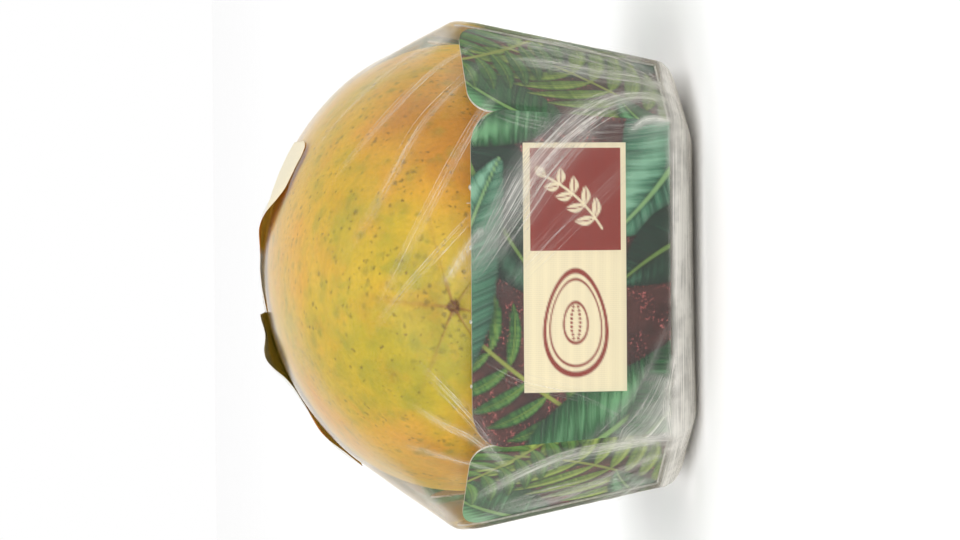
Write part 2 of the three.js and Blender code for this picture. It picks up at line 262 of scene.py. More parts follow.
def unit(vectors):
    return vectors / np.maximum(np.linalg.norm(vectors, axis=-1, keepdims=True), 1e-9)


def turns(count):
    return np.linspace(0, 2 * math.pi, count, endpoint=False)


def lattice_noise(points, size, seed):
    """Smooth seeded noise from -1 to 1 whose bumps are about size across."""
    table = np.random.default_rng(seed).uniform(-1, 1, 4096)
    scaled = np.asarray(points, float) / size
    cell = np.floor(scaled).astype(np.int64)
    part = scaled - cell
    part = part * part * (3 - 2 * part)
    total = np.zeros(len(scaled))
    for corner in range(8):
        step = np.array([(corner >> axis) & 1 for axis in range(3)])
        at = cell + step
        key = (at[:, 0] * 73856093) ^ (at[:, 1] * 19349663) ^ (at[:, 2] * 83492791)
        weight = np.prod(np.where(step, part, 1 - part), axis=1)
        total += table[key & 4095] * weight
    return total


def noises(points, *layers):
    """A sum of noises, each with its share, size and seed."""
    return sum(share * lattice_noise(points, size, seed) for share, size, seed in layers)


def flat_noise(across, up, size, seed, stretch=1.0):
    """Noise on a plane, drawn out along up by stretch."""
    points = np.stack([across, up / stretch, np.full_like(across, 0.37)], 1)
    return lattice_noise(points, size, seed)


def camera_axes():
    """The picture's right and up, and the way back to the camera, in the pack's frame."""
    turn = Matrix.Rotation(-math.radians(PACK_YAW), 3, "Z")
    rise = math.radians(CAMERA_ELEVATION)
    back = turn @ Vector((0, -math.cos(rise), math.sin(rise)))
    right = turn @ Vector((1, 0, 0))
    down = right.cross(back)
    roll = math.radians(CAMERA_ROLL)
    return (down * math.cos(roll) + right * math.sin(roll),
            right * math.cos(roll) - down * math.sin(roll), back)


# Meshes

def add_piece(name, points_mm, faces, materials, replaced, face_slots=None,
              smooth_faces=True):
    """A mesh piece from points in millimetres, riding on the pack."""
    mesh = bpy.data.meshes.new(name)
    mesh.from_pydata((np.asarray(points_mm) * MM).tolist(), [], faces)
    for material in materials:
        mesh.materials.append(material)
    if face_slots is not None:
        mesh.polygons.foreach_set("material_index", face_slots)
    mesh.polygons.foreach_set("use_smooth", np.full(len(mesh.polygons), smooth_faces))
    mesh.update()
    piece = bpy.data.objects.new(name, mesh)
    bpy.context.scene.collection.objects.link(piece)
    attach(piece, "root")
    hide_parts(replaced)
    return piece


def store(piece, name, values, kind="FLOAT"):
    """A named value for each vertex, which the material reads."""
    attribute = piece.data.attributes.new(name, kind, "POINT")
    values = np.asarray(values, np.float32)
    if kind == "FLOAT_COLOR":
        values = np.concatenate([values, np.ones((len(values), 1), np.float32)], 1)
    key = {"FLOAT": "value", "FLOAT_COLOR": "color", "FLOAT_VECTOR": "vector"}[kind]
    attribute.data.foreach_set(key, values.ravel())


def grid_faces(rows, columns, joins=False, first=0):
    """Quads of a grid of points stored row by row. Joined grids close on themselves."""
    span = columns if joins else columns - 1
    i = np.arange(rows - 1)[:, None] * columns
    j = np.arange(span)[None, :]
    k = (j + 1) % columns
    quads = np.stack([i + j, i + k, i + columns + k, i + columns + j], -1)
    return (quads.reshape(-1, 4) + first).tolist()


def closed_faces(rows, columns, flip=False):
    """Faces of rings stored one by one, and then one point for each end."""
    faces = grid_faces(rows, columns, joins=True)
    count, last = rows * columns, (rows - 1) * columns
    for i in range(columns):
        j = (i + 1) % columns
        faces += [[count, j, i], [count + 1, last + i, last + j]]
    return [face[::-1] for face in faces] if flip else faces


# Materials

class Shader:
    """A node tree that is written from left to right by short calls."""

    def __init__(self, name):
        self.material = bpy.data.materials.new(name)
        self.material.use_nodes = True
        self.tree = self.material.node_tree
        self.tree.nodes.clear()
        self.out = self.tree.nodes.new("ShaderNodeOutputMaterial")

    def node(self, kind, inputs=None, **settings):
        """Makes a node and gives its outputs."""
        made = self.tree.nodes.new("ShaderNode" + kind)
        for key, value in settings.items():
            setattr(made, key, value)
        for key, value in (inputs or {}).items():
            self.put(made.inputs[key], value)
        return made.outputs

    def put(self, socket, value):
        if isinstance(value, bpy.types.NodeSocket):
            self.tree.links.new(value, socket)
        elif hasattr(value, "__len__"):
            socket.default_value = (list(value) + [1.0])[:len(socket.default_value)]
        else:
            socket.default_value = value

    def math(self, operation, a, b=0.0, clamp=False):
        return self.node("Math", {0: a, 1: b}, operation=operation, use_clamp=clamp)[0]

    def times(self, a, b, clamp=False):
        return self.math("MULTIPLY", a, b, clamp)

    def vector(self, operation, *values):
        return self.node("VectorMath", dict(enumerate(values)), operation=operation)[0]

    def ramp(self, value, low, high, to_low=0.0, to_high=1.0):
        return self.node("MapRange", {"Value": value, "From Min": low, "From Max": high,
                                      "To Min": to_low, "To Max": to_high},
                         interpolation_type="SMOOTHSTEP")["Result"]

    def mix(self, factor, a, b, blend="MIX"):
        return self.node("Mix", {0: factor, 6: a, 7: b}, data_type="RGBA", blend_type=blend)[2]

    def grey(self, value):
        return self.node("CombineColor", {0: value, 1: value, 2: value})[0]

    def shade(self, tone, value):
        """A colour made lighter or darker by a value."""
        return self.mix(1.0, tone, self.grey(value), "MULTIPLY")

    def place(self, scale=(1, 1, 1)):
        """Places on the object in millimetres, stretched by scale."""
        return self.vector("MULTIPLY", self.node("TexCoord")["Object"], [1000 * s for s in scale])

    def noise(self, vector, scale, detail=3.0, rough=0.55, out=0):
        return self.node("TexNoise", {"Vector": vector, "Scale": scale, "Detail": detail,
                                      "Roughness": rough})[out]

    def dots(self, vector, scale, spread=1.0):
        made = self.node("TexVoronoi", {"Vector": vector, "Scale": scale, "Randomness": spread})
        return made["Distance"], made["Color"]

    def read(self, name, kind="Fac"):
        return self.node("Attribute", attribute_name=name, attribute_type="GEOMETRY")[kind]

    def bump(self, height, strength, distance, normal=None):
        inputs = {"Height": height, "Strength": strength, "Distance": distance}
        if normal is not None:
            inputs["Normal"] = normal
        return self.node("Bump", inputs)[0]

    def blend(self, factor, a, b):
        return self.node("MixShader", {0: factor, 1: a, 2: b})[0]

    def surface(self, shader):
        self.tree.links.new(shader, self.out.inputs["Surface"])
        return self.material

    def principled(self, **inputs):
        named = {key.replace("_", " "): value for key, value in inputs.items()}
        return self.surface(self.node("BsdfPrincipled", named)[0])


def skin_material():
    """Waxy ripening skin: the painted warm and green patches with painted shade by the tray's rim,
    olive clouds, mottles, freckles and fine pores.
    """
    s = Shader("papaya_skin")
    still = s.place()
    sway = s.vector("SUBTRACT", s.noise(still, 0.9, 2, 0.5, "Color"), (0.5, 0.5, 0.5))
    spot = s.vector("MULTIPLY_ADD", sway, (1.6, 1.6, 1.6), still)
    tone = s.read("skin", "Color")
    cloud = s.ramp(s.noise(spot, 0.2, 4, 0.6), 0.44, 0.74)
    cloud = s.times(cloud, s.ramp(s.read("green"), 0.0, 1.0, 0.2, 0.75))
    tone = s.mix(cloud, tone, linear(160, 156, 46))
    warm = s.ramp(s.noise(spot, 0.11, 3, 0.6), 0.46, 0.72)
    tone = s.mix(s.times(warm, 0.35), tone, linear(226, 160, 44))
    for scale, size, left_out, share, colour in FRECKLES:
        distance, draws = s.dots(spot, scale)
        parts = s.node("SeparateColor", {0: draws})
        pick = s.ramp(parts[0], left_out, left_out + 0.12)
        reach = s.times(s.ramp(parts[1], 0.0, 1.0, 0.5, 1.2), size)
        dot = s.ramp(s.math("DIVIDE", distance, reach), 0.1, 1.0, 1.0, 0.0)
        gate = s.ramp(s.noise(still, 0.05 + 0.08 * scale, 2), 0.36, 0.52)
        dot = s.times(dot, s.times(pick, gate))
        tone = s.mix(s.times(dot, share), tone, linear(*colour))
    tone = s.shade(tone, s.ramp(s.noise(still, 0.8, 4, 0.65), 0.3, 0.7, 0.9, 1.08))
    crumbs = s.ramp(s.noise(still, 1.6, 4, 0.7), 0.3, 0.62, 0.5, 1.0)
    tone = s.mix(s.times(s.read("scar"), crumbs), tone, linear(104, 60, 40))
    pores = s.noise(still, 1.9, 3, 0.6)
    relief = s.bump(pores, 0.1, 0.0002, s.bump(s.noise(still, 0.22, 3), 0.2, 0.001))
    return s.principled(Base_Color=tone, Roughness=s.ramp(pores, 0.3, 0.7, 0.38, 0.5),
                        Normal=relief, Specular_IOR_Level=0.35)


def stalk_material():
    s = Shader("stalk")
    fibre = s.noise(s.place((1, 0.2, 1)), 1.1, 4, 0.65)
    tone = s.mix(s.ramp(fibre, 0.35, 0.65), linear(92, 78, 44), linear(146, 132, 84))
    tone = s.mix(s.ramp(s.noise(s.place(), 0.5), 0.5, 0.62), tone, linear(66, 52, 34))
    return s.principled(Base_Color=tone, Roughness=0.8, Normal=s.bump(fibre, 0.6, 0.0006))


def print_material():
    """Offset print under lacquer: the painted art, specks in the soil and a faint dot screen."""
    s = Shader("printed_card")
    spot = s.place()
    art, soil = s.read("print", "Color"), s.read("soil")
    specks = s.ramp(s.noise(spot, 1.2, 4, 0.75), 0.54, 0.63)
    specks = s.times(s.times(specks, s.ramp(s.noise(spot, 0.16, 2), 0.42, 0.6)), soil)
    art = s.mix(s.times(specks, 0.9), art, linear(188, 100, 96))
    art = s.mix(soil, art, s.shade(art, s.ramp(s.noise(spot, 0.4, 3), 0.35, 0.65, 0.75, 1.12)))
    screen, _ = s.dots(s.place((1.0, 0.8, 1.25)), 2.0, 0.0)
    art = s.shade(art, s.ramp(screen, 0.15, 0.75, 0.95, 1.07))
    relief = s.bump(s.noise(spot, 1.2, 3), 0.08, 0.0002)
    return s.principled(Base_Color=art, Roughness=0.42, Normal=relief)


def board_material(name, light, dark, grain):
    s = Shader(name)
    fibres = s.noise(s.place(), grain, 4, 0.7)
    tone = s.mix(s.ramp(fibres, 0.35, 0.68), linear(*dark), linear(*light))
    return s.principled(Base_Color=tone, Roughness=0.85, Normal=s.bump(fibres, 0.3, 0.0001))


def film_material():
    """Stretch film: mostly clear, with the sky's gloss, milky where it is gathered, and with
    fine drawn streaks along its folds."""
    s = Shader("clear_film")
    places = s.read("fan", "Vector")
    reach = s.read("fan_weight")
    drawn = s.noise(places, 1.0, 4, 0.62)
    fine = s.noise(s.vector("MULTIPLY", places, (3.1, 1.4, 1.0)), 1.0, 3, 0.6)
    streak = s.math("ADD", s.ramp(drawn, 0.5, 0.68), s.ramp(fine, 0.54, 0.7, 0.0, 0.8))
    streak = s.times(streak, s.times(reach, 0.62))
    cloud = s.ramp(s.noise(s.place(), 0.12, 3), 0.3, 0.7, 0.75, 1.25)
    lined = s.ramp(fine, 0.3, 0.7, 0.75, 1.15)
    haze = s.times(s.read("haze"), s.times(cloud, lined))
    white = s.math("MINIMUM", s.math("ADD", haze, streak), 0.95)
    relief = s.bump(drawn, s.ramp(reach, 0.0, 0.4, 0.05, 0.5), 0.0005)
    return milky_film(s, white, relief, 0.2)


def milky_film(s, white, relief, rough):
    """Clear film that turns to a warm white as white goes to 1, under a thin gloss."""
    sheen = s.node("Fresnel", {"IOR": FILM_IOR, "Normal": relief})[0]
    clear = s.node("BsdfTransparent", {"Color": FILM_CLEAR})[0]
    gloss = s.node("BsdfGlossy", {"Color": FILM_GLOSS, "Roughness": rough, "Normal": relief})[0]
    cloth = s.node("BsdfDiffuse", {"Color": FILM_TINT})[0]
    through = s.node("BsdfTranslucent", {"Color": FILM_TINT})[0]
    body = s.blend(white, clear, s.blend(FILM_THROUGH, cloth, through))
    return s.surface(s.blend(sheen, body, gloss))


def strand_material():
    """A drawn strand of film, two or three layers thick and whiter along its length."""
    s = Shader("film_strand")
    uneven = s.ramp(s.noise(s.place(), 0.5, 3), 0.3, 0.7, 0.6, 1.3)
    white = s.times(s.read("haze"), uneven, clamp=True)
    return milky_film(s, white, s.bump(white, 0.1, 0.0001), 0.25)


def label_material(name, side, through):
    """Coated label paper, printed on its face, with painted bounce light and painted shade on its
    back.
    """
    s = Shader(name)
    fibre = s.ramp(s.noise(s.place(), 1.4, 4, 0.7), 0.3, 0.7, 0.95, 1.03)
    art = s.shade(s.read(side, "Color"), fibre)
    relief = s.bump(s.noise(s.place(), 0.8, 3), 0.1, 0.0002)
    face = s.node("BsdfPrincipled", {"Base Color": art, "Roughness": 0.5, "Normal": relief})[0]
    light = s.node("BsdfTranslucent", {"Color": art})[0]
    return s.surface(s.blend(through, face, light))


# Fruit

def fruit_points(along, around):
    """The skin. along is 0 at the stem end and pi at the blossom end."""
    reach = np.cos(along)
    blossom = np.maximum(0, -reach)
    stem = np.maximum(0, reach)
    waist = np.sin(along) ** WAIST_POWER * (1 - STEM_TAPER * stem ** STEM_TAPER_POWER)
    radius = waist * FRUIT_HALF[0]
    lobe_share = LOBE_SHARE + BLOSSOM_LOBE_SHARE * blossom ** BLOSSOM_LOBE_POWER
    lobe = 1 + lobe_share * np.cos(LOBES * (around - LOBE_TURN))
    dimple = blossom ** POLE_POWER * (DIMPLE[0] * bell(radius, DIMPLE[1])
                                      - SCAR[0] * bell(radius, SCAR[1]))
    hollow = stem ** POLE_POWER * HOLLOW[0] * bell(radius, HOLLOW[1])
    y = np.sign(reach) * np.abs(reach) ** LENGTH_POWER * FRUIT_HALF[1] + dimple - hollow
    centre = (FRUIT_CENTRE + BLOSSOM_SHIFT * (blossom ** SHIFT_POWER)[:, None]
              + STEM_SHIFT * (stem ** SHIFT_POWER)[:, None])
    points = centre + np.stack([np.cos(around) * waist * lobe * FRUIT_HALF[0], y,
                                np.sin(around) * waist * lobe * FRUIT_HALF[2]], 1)
    points[:, 2] = np.maximum(points[:, 2], FRUIT_FLAT_Z)
    return points, radius


def fruit_grid(sides, rings, pole_rings):
    """Ring by ring angles, closer together towards both ends."""
    pole = POLE_SPAN * np.linspace(0.012, 1, pole_rings) ** 1.4
    middle = np.linspace(POLE_SPAN, math.pi - POLE_SPAN, rings)
    steps = np.concatenate([pole[:-1], middle, math.pi - pole[:-1][::-1]])
    return np.repeat(steps, sides), np.tile(turns(sides), len(steps)), len(steps)


def patches(points, spots):
    """A sum of soft round patches, each from its centre, width and strength."""
    return sum(strength * bell(np.linalg.norm(points - np.array(centre), axis=1), width)
               for centre, width, strength in spots)


def fruit_seams(around, radius):
    """1 along the thin seams that run out from the scar, and 0 away from them."""
    seams = np.zeros(len(radius))
    for n, turn in enumerate(SEAM_TURNS):
        away = np.abs((around - turn + math.pi) % (2 * math.pi) - math.pi)
        sway = 0.5 * lattice_noise(np.stack([radius, radius * 0 + n, radius * 0], 1), 5, 40 + n)
        across = away * radius + sway * smooth(radius, 2, 8)
        seams = np.maximum(seams, bell(across, SEAM_WIDTH) * np.exp(-radius / SEAM_RUN))
    return seams


def make_fruit():
    """The whole fruit with the crumbled scar, its radiating seams, and the stub of its stalk."""
    along, around, rings = fruit_grid(FRUIT_SIDES, FRUIT_RINGS, FRUIT_POLE_RINGS)
    points, radius = fruit_points(along, around)
    blossom = smooth(-np.cos(along), 0.5, 0.9)
    outward = unit(points - (FRUIT_CENTRE + BLOSSOM_SHIFT * 0.3))
    seams = fruit_seams(around, radius) * blossom
    crumbs = noises(points, (1, 0.8, 5), (0.6, 0.45, 6))
    scar = smooth(-radius + noises(points, (0.5, 1.2, 7)), -2.3, -1.3) * blossom
    lift = -SEAM_DEEP * seams + CRUMBS_HIGH * crumbs * scar
    lift += noises(points, (0.16, 9, 8), (0.05, 3, 9))
    keep = points[:, 2] > FRUIT_FLAT_Z + 0.3
    points += outward * (lift * keep)[:, None]

    blush_and_rim_shade = patches(points, BLUSH_AND_RIM_SHADE_SPOTS) + noises(points, (0.4, 19, 21), (0.16, 6, 22))
    green = patches(points, GREEN_SPOTS)
    green += noises(points, (0.5, 15, 23), (0.3, 6, 24), (0.16, 3, 25))
    green -= 0.3 * np.clip(blush_and_rim_shade, 0, 1)
    rust = patches(points, RUST_SPOTS) * (1 + noises(points, (0.8, 1.6, 26)))
    skin = np.tile(linear(224, 184, 48), (len(points), 1))
    # The second, darker orange, strongest in the warm patches by the tray's rim, is partly
    # ripening colour and partly painted shade.
    for share, colour in ((0.7 * smooth(blush_and_rim_shade, 0.1, 0.8), (230, 168, 48)),
                          (0.8 * smooth(blush_and_rim_shade, 0.6, 1.15), (208, 136, 30)),
                          (0.62 * smooth(green, -0.1, 1.0), (194, 180, 40)),
                          (0.5 * smooth(green, 0.55, 1.3), (164, 162, 36)),
                          (np.clip(rust, 0, 0.8), (156, 106, 44)),
                          (0.6 * bell(radius, 8) * blossom, (188, 176, 62)),
                          (0.75 * np.clip(seams, 0, 1), (150, 88, 44))):
        tint(skin, share, colour)

    poles = [points[:FRUIT_SIDES].mean(0), points[-FRUIT_SIDES:].mean(0)]
    fruit = add_piece("papaya_fruit", np.concatenate([points, poles]),
                      closed_faces(rings, FRUIT_SIDES, flip=True), [skin_material()],
                      "papaya")
    scar = np.clip(scar + 0.15 * seams, 0, 1)
    store(fruit, "skin", np.concatenate([skin, skin[[0, -1]]]), "FLOAT_COLOR")
    store(fruit, "green", np.append(smooth(green, -0.1, 0.9), [0, 0]))
    store(fruit, "scar", np.append(scar, [0, 1]))
    make_stalk()


def make_stalk():
    """The short dry stub at the stem end, cut across, with five blunt ribs."""
    around = turns(STALK_SIDES)
    foot = fruit_points(np.array([0.02]), np.array([0.0]))[0][0]
    base = FRUIT_CENTRE + STEM_SHIFT
    base[1] = foot[1]
    points = []
    for height, width in STALK_RINGS:
        rib = 1 + 0.07 * np.cos(5 * around) + 0.03 * np.sin(11 * around + height)
        r = STALK_RADIUS * width * rib
        y = np.full(STALK_SIDES, height) + 0.15 * np.sin(7 * around + width * 9)
        points.extend(base + np.stack([np.cos(around) * r, y, np.sin(around) * r], 1))
    points += [base + [0, STALK_RINGS[0][0], 0], base + [0, STALK_LENGTH - 0.6, 0]]
    add_piece("papaya_stalk", points, closed_faces(len(STALK_RINGS), STALK_SIDES, flip=True),
              [stalk_material()], "papaya")


# Printed art, drawn in the plane of a wall

def heading(base, tip):
    """The way from base to tip, the way to its left, and how far it is."""
    step = np.subtract(tip, base)
    length = math.hypot(*step)
    ahead = step / length
    return ahead, np.array([-ahead[1], ahead[0]]), length


def midrib(base, tip, bend, share):
    """A place on a leaf's bent midrib."""
    _, aside, _ = heading(base, tip)
    return np.array(base) + np.subtract(tip, base) * share + aside * bend * 4 * share * (1 - share)


class Art:
    """Colours of points on a wall: across from its middle and up from its fold, in millimetres."""

    def __init__(self, across, up, seed):
        self.across, self.up, self.seed = across, up, seed
        ground = (0.5 + 0.5 * flat_noise(across, up, 9, seed))[:, None]
        self.rgb = linear(58, 31, 30) * (1 - ground) + linear(92, 52, 46) * ground
        self.soil = np.ones(len(across))

    def cover(self, share, colour):
        """Lays a colour over the art where share is 1."""
        self.rgb += (colour - self.rgb) * share[:, None]
        self.soil *= 1 - share

    def box(self, sides, heights, colour):
        """An upright box of plain colour."""
        inside = ((self.across > sides[0]) & (self.across < sides[1]) & (self.up > heights[0])
                  & (self.up < heights[1]))
        self.cover(inside.astype(float), linear(*colour))

    def leaf_frame(self, base, tip, bend):
        """Share of the way along a leaf, and millimetres to the side of its bent midrib."""
        ahead, _, length = heading(base, tip)
        x = (self.across - base[0]) * ahead[0] + (self.up - base[1]) * ahead[1]
        y = (self.up - base[1]) * ahead[0] - (self.across - base[0]) * ahead[1]
        share = x / length
        return share, y - bend * 4 * share * (1 - share), length, (share > 0) & (share < 1)

    def stem(self, base, tip, bend, half, blur, colour):
        _, side, _, within = self.leaf_frame(base, tip, bend)
        self.cover(soft(half - np.abs(side), blur) * within, linear(*colour))

    def blade(self, base, tip, width, tones, bend=0.0, veins=2.6, slant=0.8, rib=0.9, blunt=0.75,
              lit=1, shadow=1.6):
        """One broad leaf with a pale midrib, pleated side veins and a sheen on its lit half."""
        share, side, length, within = self.leaf_frame(base, tip, bend)
        away = np.abs(side)
        inside = np.clip(share, 0.001, 0.999)
        half = width / 2 * np.sin(math.pi * inside ** blunt) ** 0.75
        wobble = 1 + 0.05 * flat_noise(share * length, share * 0 + width, 6, self.seed + 3)
        half = half * wobble
        edge = half - away
        under = np.clip((edge + shadow) / shadow, 0, 1) * within
        self.rgb *= (1 - 0.45 * under)[:, None]
        dark, mid, light = (linear(*tone) for tone in tones)
        over = away / np.maximum(half, 0.1)
        run = share * length - away * slant
        run = run + 0.5 * flat_noise(self.across, self.up, 7, self.seed + 5)
        pleat = 0.5 + 0.5 * np.cos(2 * math.pi * run / veins)
        grain = flat_noise(run * 3, away, 1.1, self.seed + 7, stretch=9)
        glow = bell(over - 0.45, 0.32) * np.where(np.sign(side) == lit, 1.0, 0.35)
        glow *= 0.75 + 0.5 * flat_noise(share * length, side, 11, self.seed + 9)
        bright = np.clip(0.06 + 0.34 * pleat + 0.26 * grain + 0.85 * glow, 0, 1)[:, None]
        colour = np.where(bright < 0.5, dark + (mid - dark) * bright * 2,
                          mid + (light - mid) * (bright * 2 - 1))
        colour = colour * (1 - 0.35 * smooth(over, 0.86, 1.0))[:, None]
        vein = bell((run / veins) % 1 - 0.5, 0.07) * smooth(over, 0.02, 0.2)
        colour = colour + (light * 0.9 - colour) * (0.3 * vein)[:, None]
        spine = soft(rib * (1 - 0.75 * inside) - away, 0.3)
        pale = light * 0.45 + linear(138, 168, 66) * 0.55
        colour = colour + (pale - colour) * spine[:, None]
        groove = bell(away - rib * (1.25 - 0.75 * inside), 0.3)
        colour = colour * (1 - 0.3 * groove)[:, None]
        self.cover(soft(edge, 0.35) * within, colour)

    def frond(self, base, tip, pairs, leaflet, width, tones, bend=0.0, lean=0.5):
        """A palm frond: a thin stalk with narrow leaflets in pairs."""
        ahead, aside, _ = heading(base, tip)
        for n in range(pairs):
            share = 0.06 + 0.9 * n / (pairs - 1)
            root = midrib(base, tip, bend, share)
            grow = leaflet * (0.45 + 0.9 * math.sin(math.pi * (0.15 + 0.75 * share)))
            for side in (1, -1):
                out = root + grow * (ahead * lean + aside * side * math.sqrt(1 - lean * lean))
                self.blade(root, out, width, tones, bend=0.06 * grow * side, veins=50, slant=0.0,
                           rib=0.28, blunt=0.9, lit=side, shadow=0.8)
        self.stem(base, tip, bend, 0.5, 0.3, (150, 160, 74))

    def block(self):
        """The plain cream block, with a sprig on brick red and a cut fruit in outline."""
        self.box(BLOCK_ACROSS, BLOCK_UP, CREAM)
        self.box(BRICK_ACROSS, BRICK_UP, BRICK)
        middle = np.array([sum(BRICK_ACROSS), sum(BRICK_UP)]) / 2
        base, tip = middle + SPRIG_FOOT, middle + SPRIG_TIP
        self.stem(base, tip, SPRIG_BEND, 0.3, 0.25, CREAM)
        for n, turn in [(n, turn) for n in range(4) for turn in (1, -1)] + [(4, 0)]:
            self.sprig_leaf(base, tip, n, turn)
        self.cut_fruit()

    def sprig_leaf(self, base, tip, n, turn):
        """One plain little leaf of the sprig. A turn of 0 is the one at its tip."""
        ahead, aside, _ = heading(base, tip)
        root = midrib(base, tip, SPRIG_BEND, 0.16 + 0.2 * n)
        way = ahead * math.cos(turn * SPRIG_LEAN) + aside * math.sin(turn * SPRIG_LEAN)
        along, side, _, within = self.leaf_frame(root, root + 5.6 * way * (1 - 0.08 * n),
                                                 0.35 * turn)
        half = 1.15 * np.sin(math.pi * np.clip(along, 0.001, 0.999) ** 0.85)
        gap = soft(0.14 - np.abs(side), 0.2) * (along > 0.12)
        self.cover(soft(half - np.abs(side), 0.25) * within * (1 - gap), linear(*CREAM))

    def cut_fruit(self):
        """A halved fruit drawn as outlines round two rows of seeds."""
        x, y = self.across - CUT_FRUIT_PLACE[0], self.up - CUT_FRUIT_PLACE[1]
        far = np.hypot(x / 1.62, y * 9.6 / (9.6 - 0.14 * x))
        for radius, weight in CUT_FRUIT_RINGS:
            self.cover(soft(weight - np.abs(far - radius), 0.25), linear(*BRICK))
        for n in range(9):
            for row in (-1, 1):
                seed_x = -3.9 + 0.98 * n
                seed_y = row * (1.15 - 0.035 * (n - 4) ** 2)
                self.cover(soft(0.36 - np.hypot(x - seed_x, y - seed_y), 0.2), linear(*BRICK))


def front_art(art):
    art.blade((44, 58), (-6, 30), 26, DEEP, bend=-3, lit=-1)
    art.frond((-46, 2), (-8, 58), 11, 13, 3.4, MOSS, bend=3)
    art.blade((-50, 40), (-14, -8), 25, FOREST, bend=-5, veins=3.4)
    art.blade((-30, 62), (30, 44), 23, TEAL, bend=3, veins=4.2)
    art.blade((58, -14), (10, 16), 34, TEAL, bend=5, veins=5.0, rib=1.2, lit=-1)
    art.blade((-12, -12), (-44, 14), 22, FOREST, bend=4, veins=3.0)
    art.blade((14, -16), (-2, 14), 18, DEEP, bend=-2)
    art.blade((60, 26), (34, 60), 24, FOREST, bend=3, veins=3.2)
    art.block()


def corner_art(art):
    art.blade((-26, 30), (8, 60), 26, FOREST, bend=4)
    art.blade((24, -6), (2, 30), 22, DEEP, bend=-3)
    art.frond((-22, -4), (14, 40), 10, 17, 4.4, LIME, bend=-4, lean=0.55)
    art.frond((30, 24), (0, 58), 9, 14, 4.0, MOSS, bend=3)
    art.blade((-30, -6), (-4, 12), 14, FOREST, bend=3)


def side_art(art):
    for x, turn, first, second, third in ((-44, -1, TEAL, LIME, FOREST),
                                          (-6, 1, FOREST, MOSS, DEEP),
                                          (34, -1, TEAL, MOSS, FOREST)):
        art.blade((x - 20, 60), (x + 8, 8), 27, first, bend=4 * turn, veins=3.8)
        art.frond((x + 26, -4), (x - 6, 50), 11, 15, 3.8, second, bend=-3 * turn)
        art.blade((x - 26, -8), (x + 4, 24), 22, third, bend=-3 * turn)


def back_art(art):
    art.blade((-46, 52), (4, 26), 28, TEAL, bend=4, veins=4)
    art.frond((44, 0), (6, 56), 12, 15, 3.8, MOSS, bend=-3)
    art.blade((46, 30), (-2, -6), 30, FOREST, bend=-5, veins=3.6)
    art.blade((-40, -10), (-8, 30), 24, DEEP, bend=3)
    art.frond((-48, -2), (-14, 30), 9, 13, 3.6, LIME, bend=2)


# Tray

# The walls in the order they are made: number round the tray, name, grid step, art, and the
# printed edges across and up that the grid follows
WALLS = ((6, "tray_front", FINE_PRINT, front_art, BLOCK_ACROSS + BRICK_ACROSS,
          BLOCK_UP + BRICK_UP),
         (7, "tray_corner_front_right", FINE_PRINT, corner_art),
         (5, "tray_corner_front_left", FINE_PRINT, corner_art),
         (0, "tray_side_right", COARSE_PRINT, side_art),
         (4, "tray_side_left", COARSE_PRINT, side_art),
         (2, "tray_back", COARSE_PRINT, back_art),
         (1, "tray_corner_back_right", COARSE_PRINT, corner_art),
         (3, "tray_corner_back_left", COARSE_PRINT, corner_art))


def outline(share):
    """Corners of the tray's eight-sided outline at a height share, from the +X side's front
    end."""
    low, high = (*BASE_HALF, BASE_CORNER, FOLD_Z), (*RIM_HALF, RIM_CORNER, RIM_Z)
    half_x, half_y, cut, z = (a + (b - a) * share for a, b in zip(low, high))
    end_x, side_y = half_x - cut, half_y - cut * CORNER_SLOPE
    return np.array([[half_x, -side_y, z], [half_x, side_y, z], [end_x, half_y, z],
                     [-end_x, half_y, z], [-half_x, side_y, z], [-half_x, -side_y, z],
                     [-end_x, -half_y, z], [end_x, -half_y, z]])


def beside(lines):
    """Places just before and just past each printed edge."""
    return [line + step for line in sorted(lines) for step in (-LINE_GAP, LINE_GAP)]


class Wall:
    """One wall of the tray: its own plane, its two widths and its height."""

    def __init__(self, number):
        (a, b), (c, d) = (outline(share)[[number, (number + 1) % 8]] for share in (0, 1))
        self.foot = (a + b) / 2
        rise = (c + d) / 2 - self.foot
        self.height = np.linalg.norm(rise)
        self.across = unit(b - a)
        self.up = rise / self.height
        self.out = np.cross(self.across, self.up)
        self.low_half = np.linalg.norm(b - a) / 2
        self.high_half = np.linalg.norm(d - c) / 2
        self.corner = number % 2 == 1
        self.long = number % 4 == 0
        self.drop = CORNER_DROP if self.corner else PANEL_ROUND

    def point(self, across, up, out=0.0):
        """A point in the tray's frame from places in the wall's plane."""
        across, up, out = (np.asarray(value, float)[..., None] for value in (across, up, out))
        return self.foot + across * self.across + up * self.up + out * self.out

    def dip(self, across, up):
        """How far the top edge of a long side is cut down, less and less towards its fold."""
        share = smooth(self.high_half - PANEL_ROUND - np.abs(across), 0, DIP_RUN)
        return (SIDE_DIP if self.long else 0) * share * (up / self.height) ** 2

    def profile(self, step, lines=()):
        """Heights of the rows and the half width at each, round at the top corners."""
        top, wide = self.height, self.high_half
        straight = top - self.drop
        shoulder = np.interp(straight, [0, top], [self.low_half, wide])
        rows = np.linspace(0, straight, int(straight / step))
        rows = np.unique(np.concatenate([rows, beside(lines)]))
        halves = self.low_half + (shoulder - self.low_half) * rows / straight
        q = np.linspace(0, 1, BEND_STEPS + 1)[1:]

        def bend(p0, p1, p2, p3):
            return ((1 - q) ** 3 * p0 + 3 * q * (1 - q) ** 2 * p1 + 3 * q * q * (1 - q) * p2
                    + q ** 3 * p3)

        heights = bend(straight, top - self.drop * BEND_EASE, top, top)
        widths = bend(shoulder, wide, wide - PANEL_ROUND * BEND_EASE, wide - PANEL_ROUND)
        return np.concatenate([rows, heights]), np.concatenate([halves, widths])


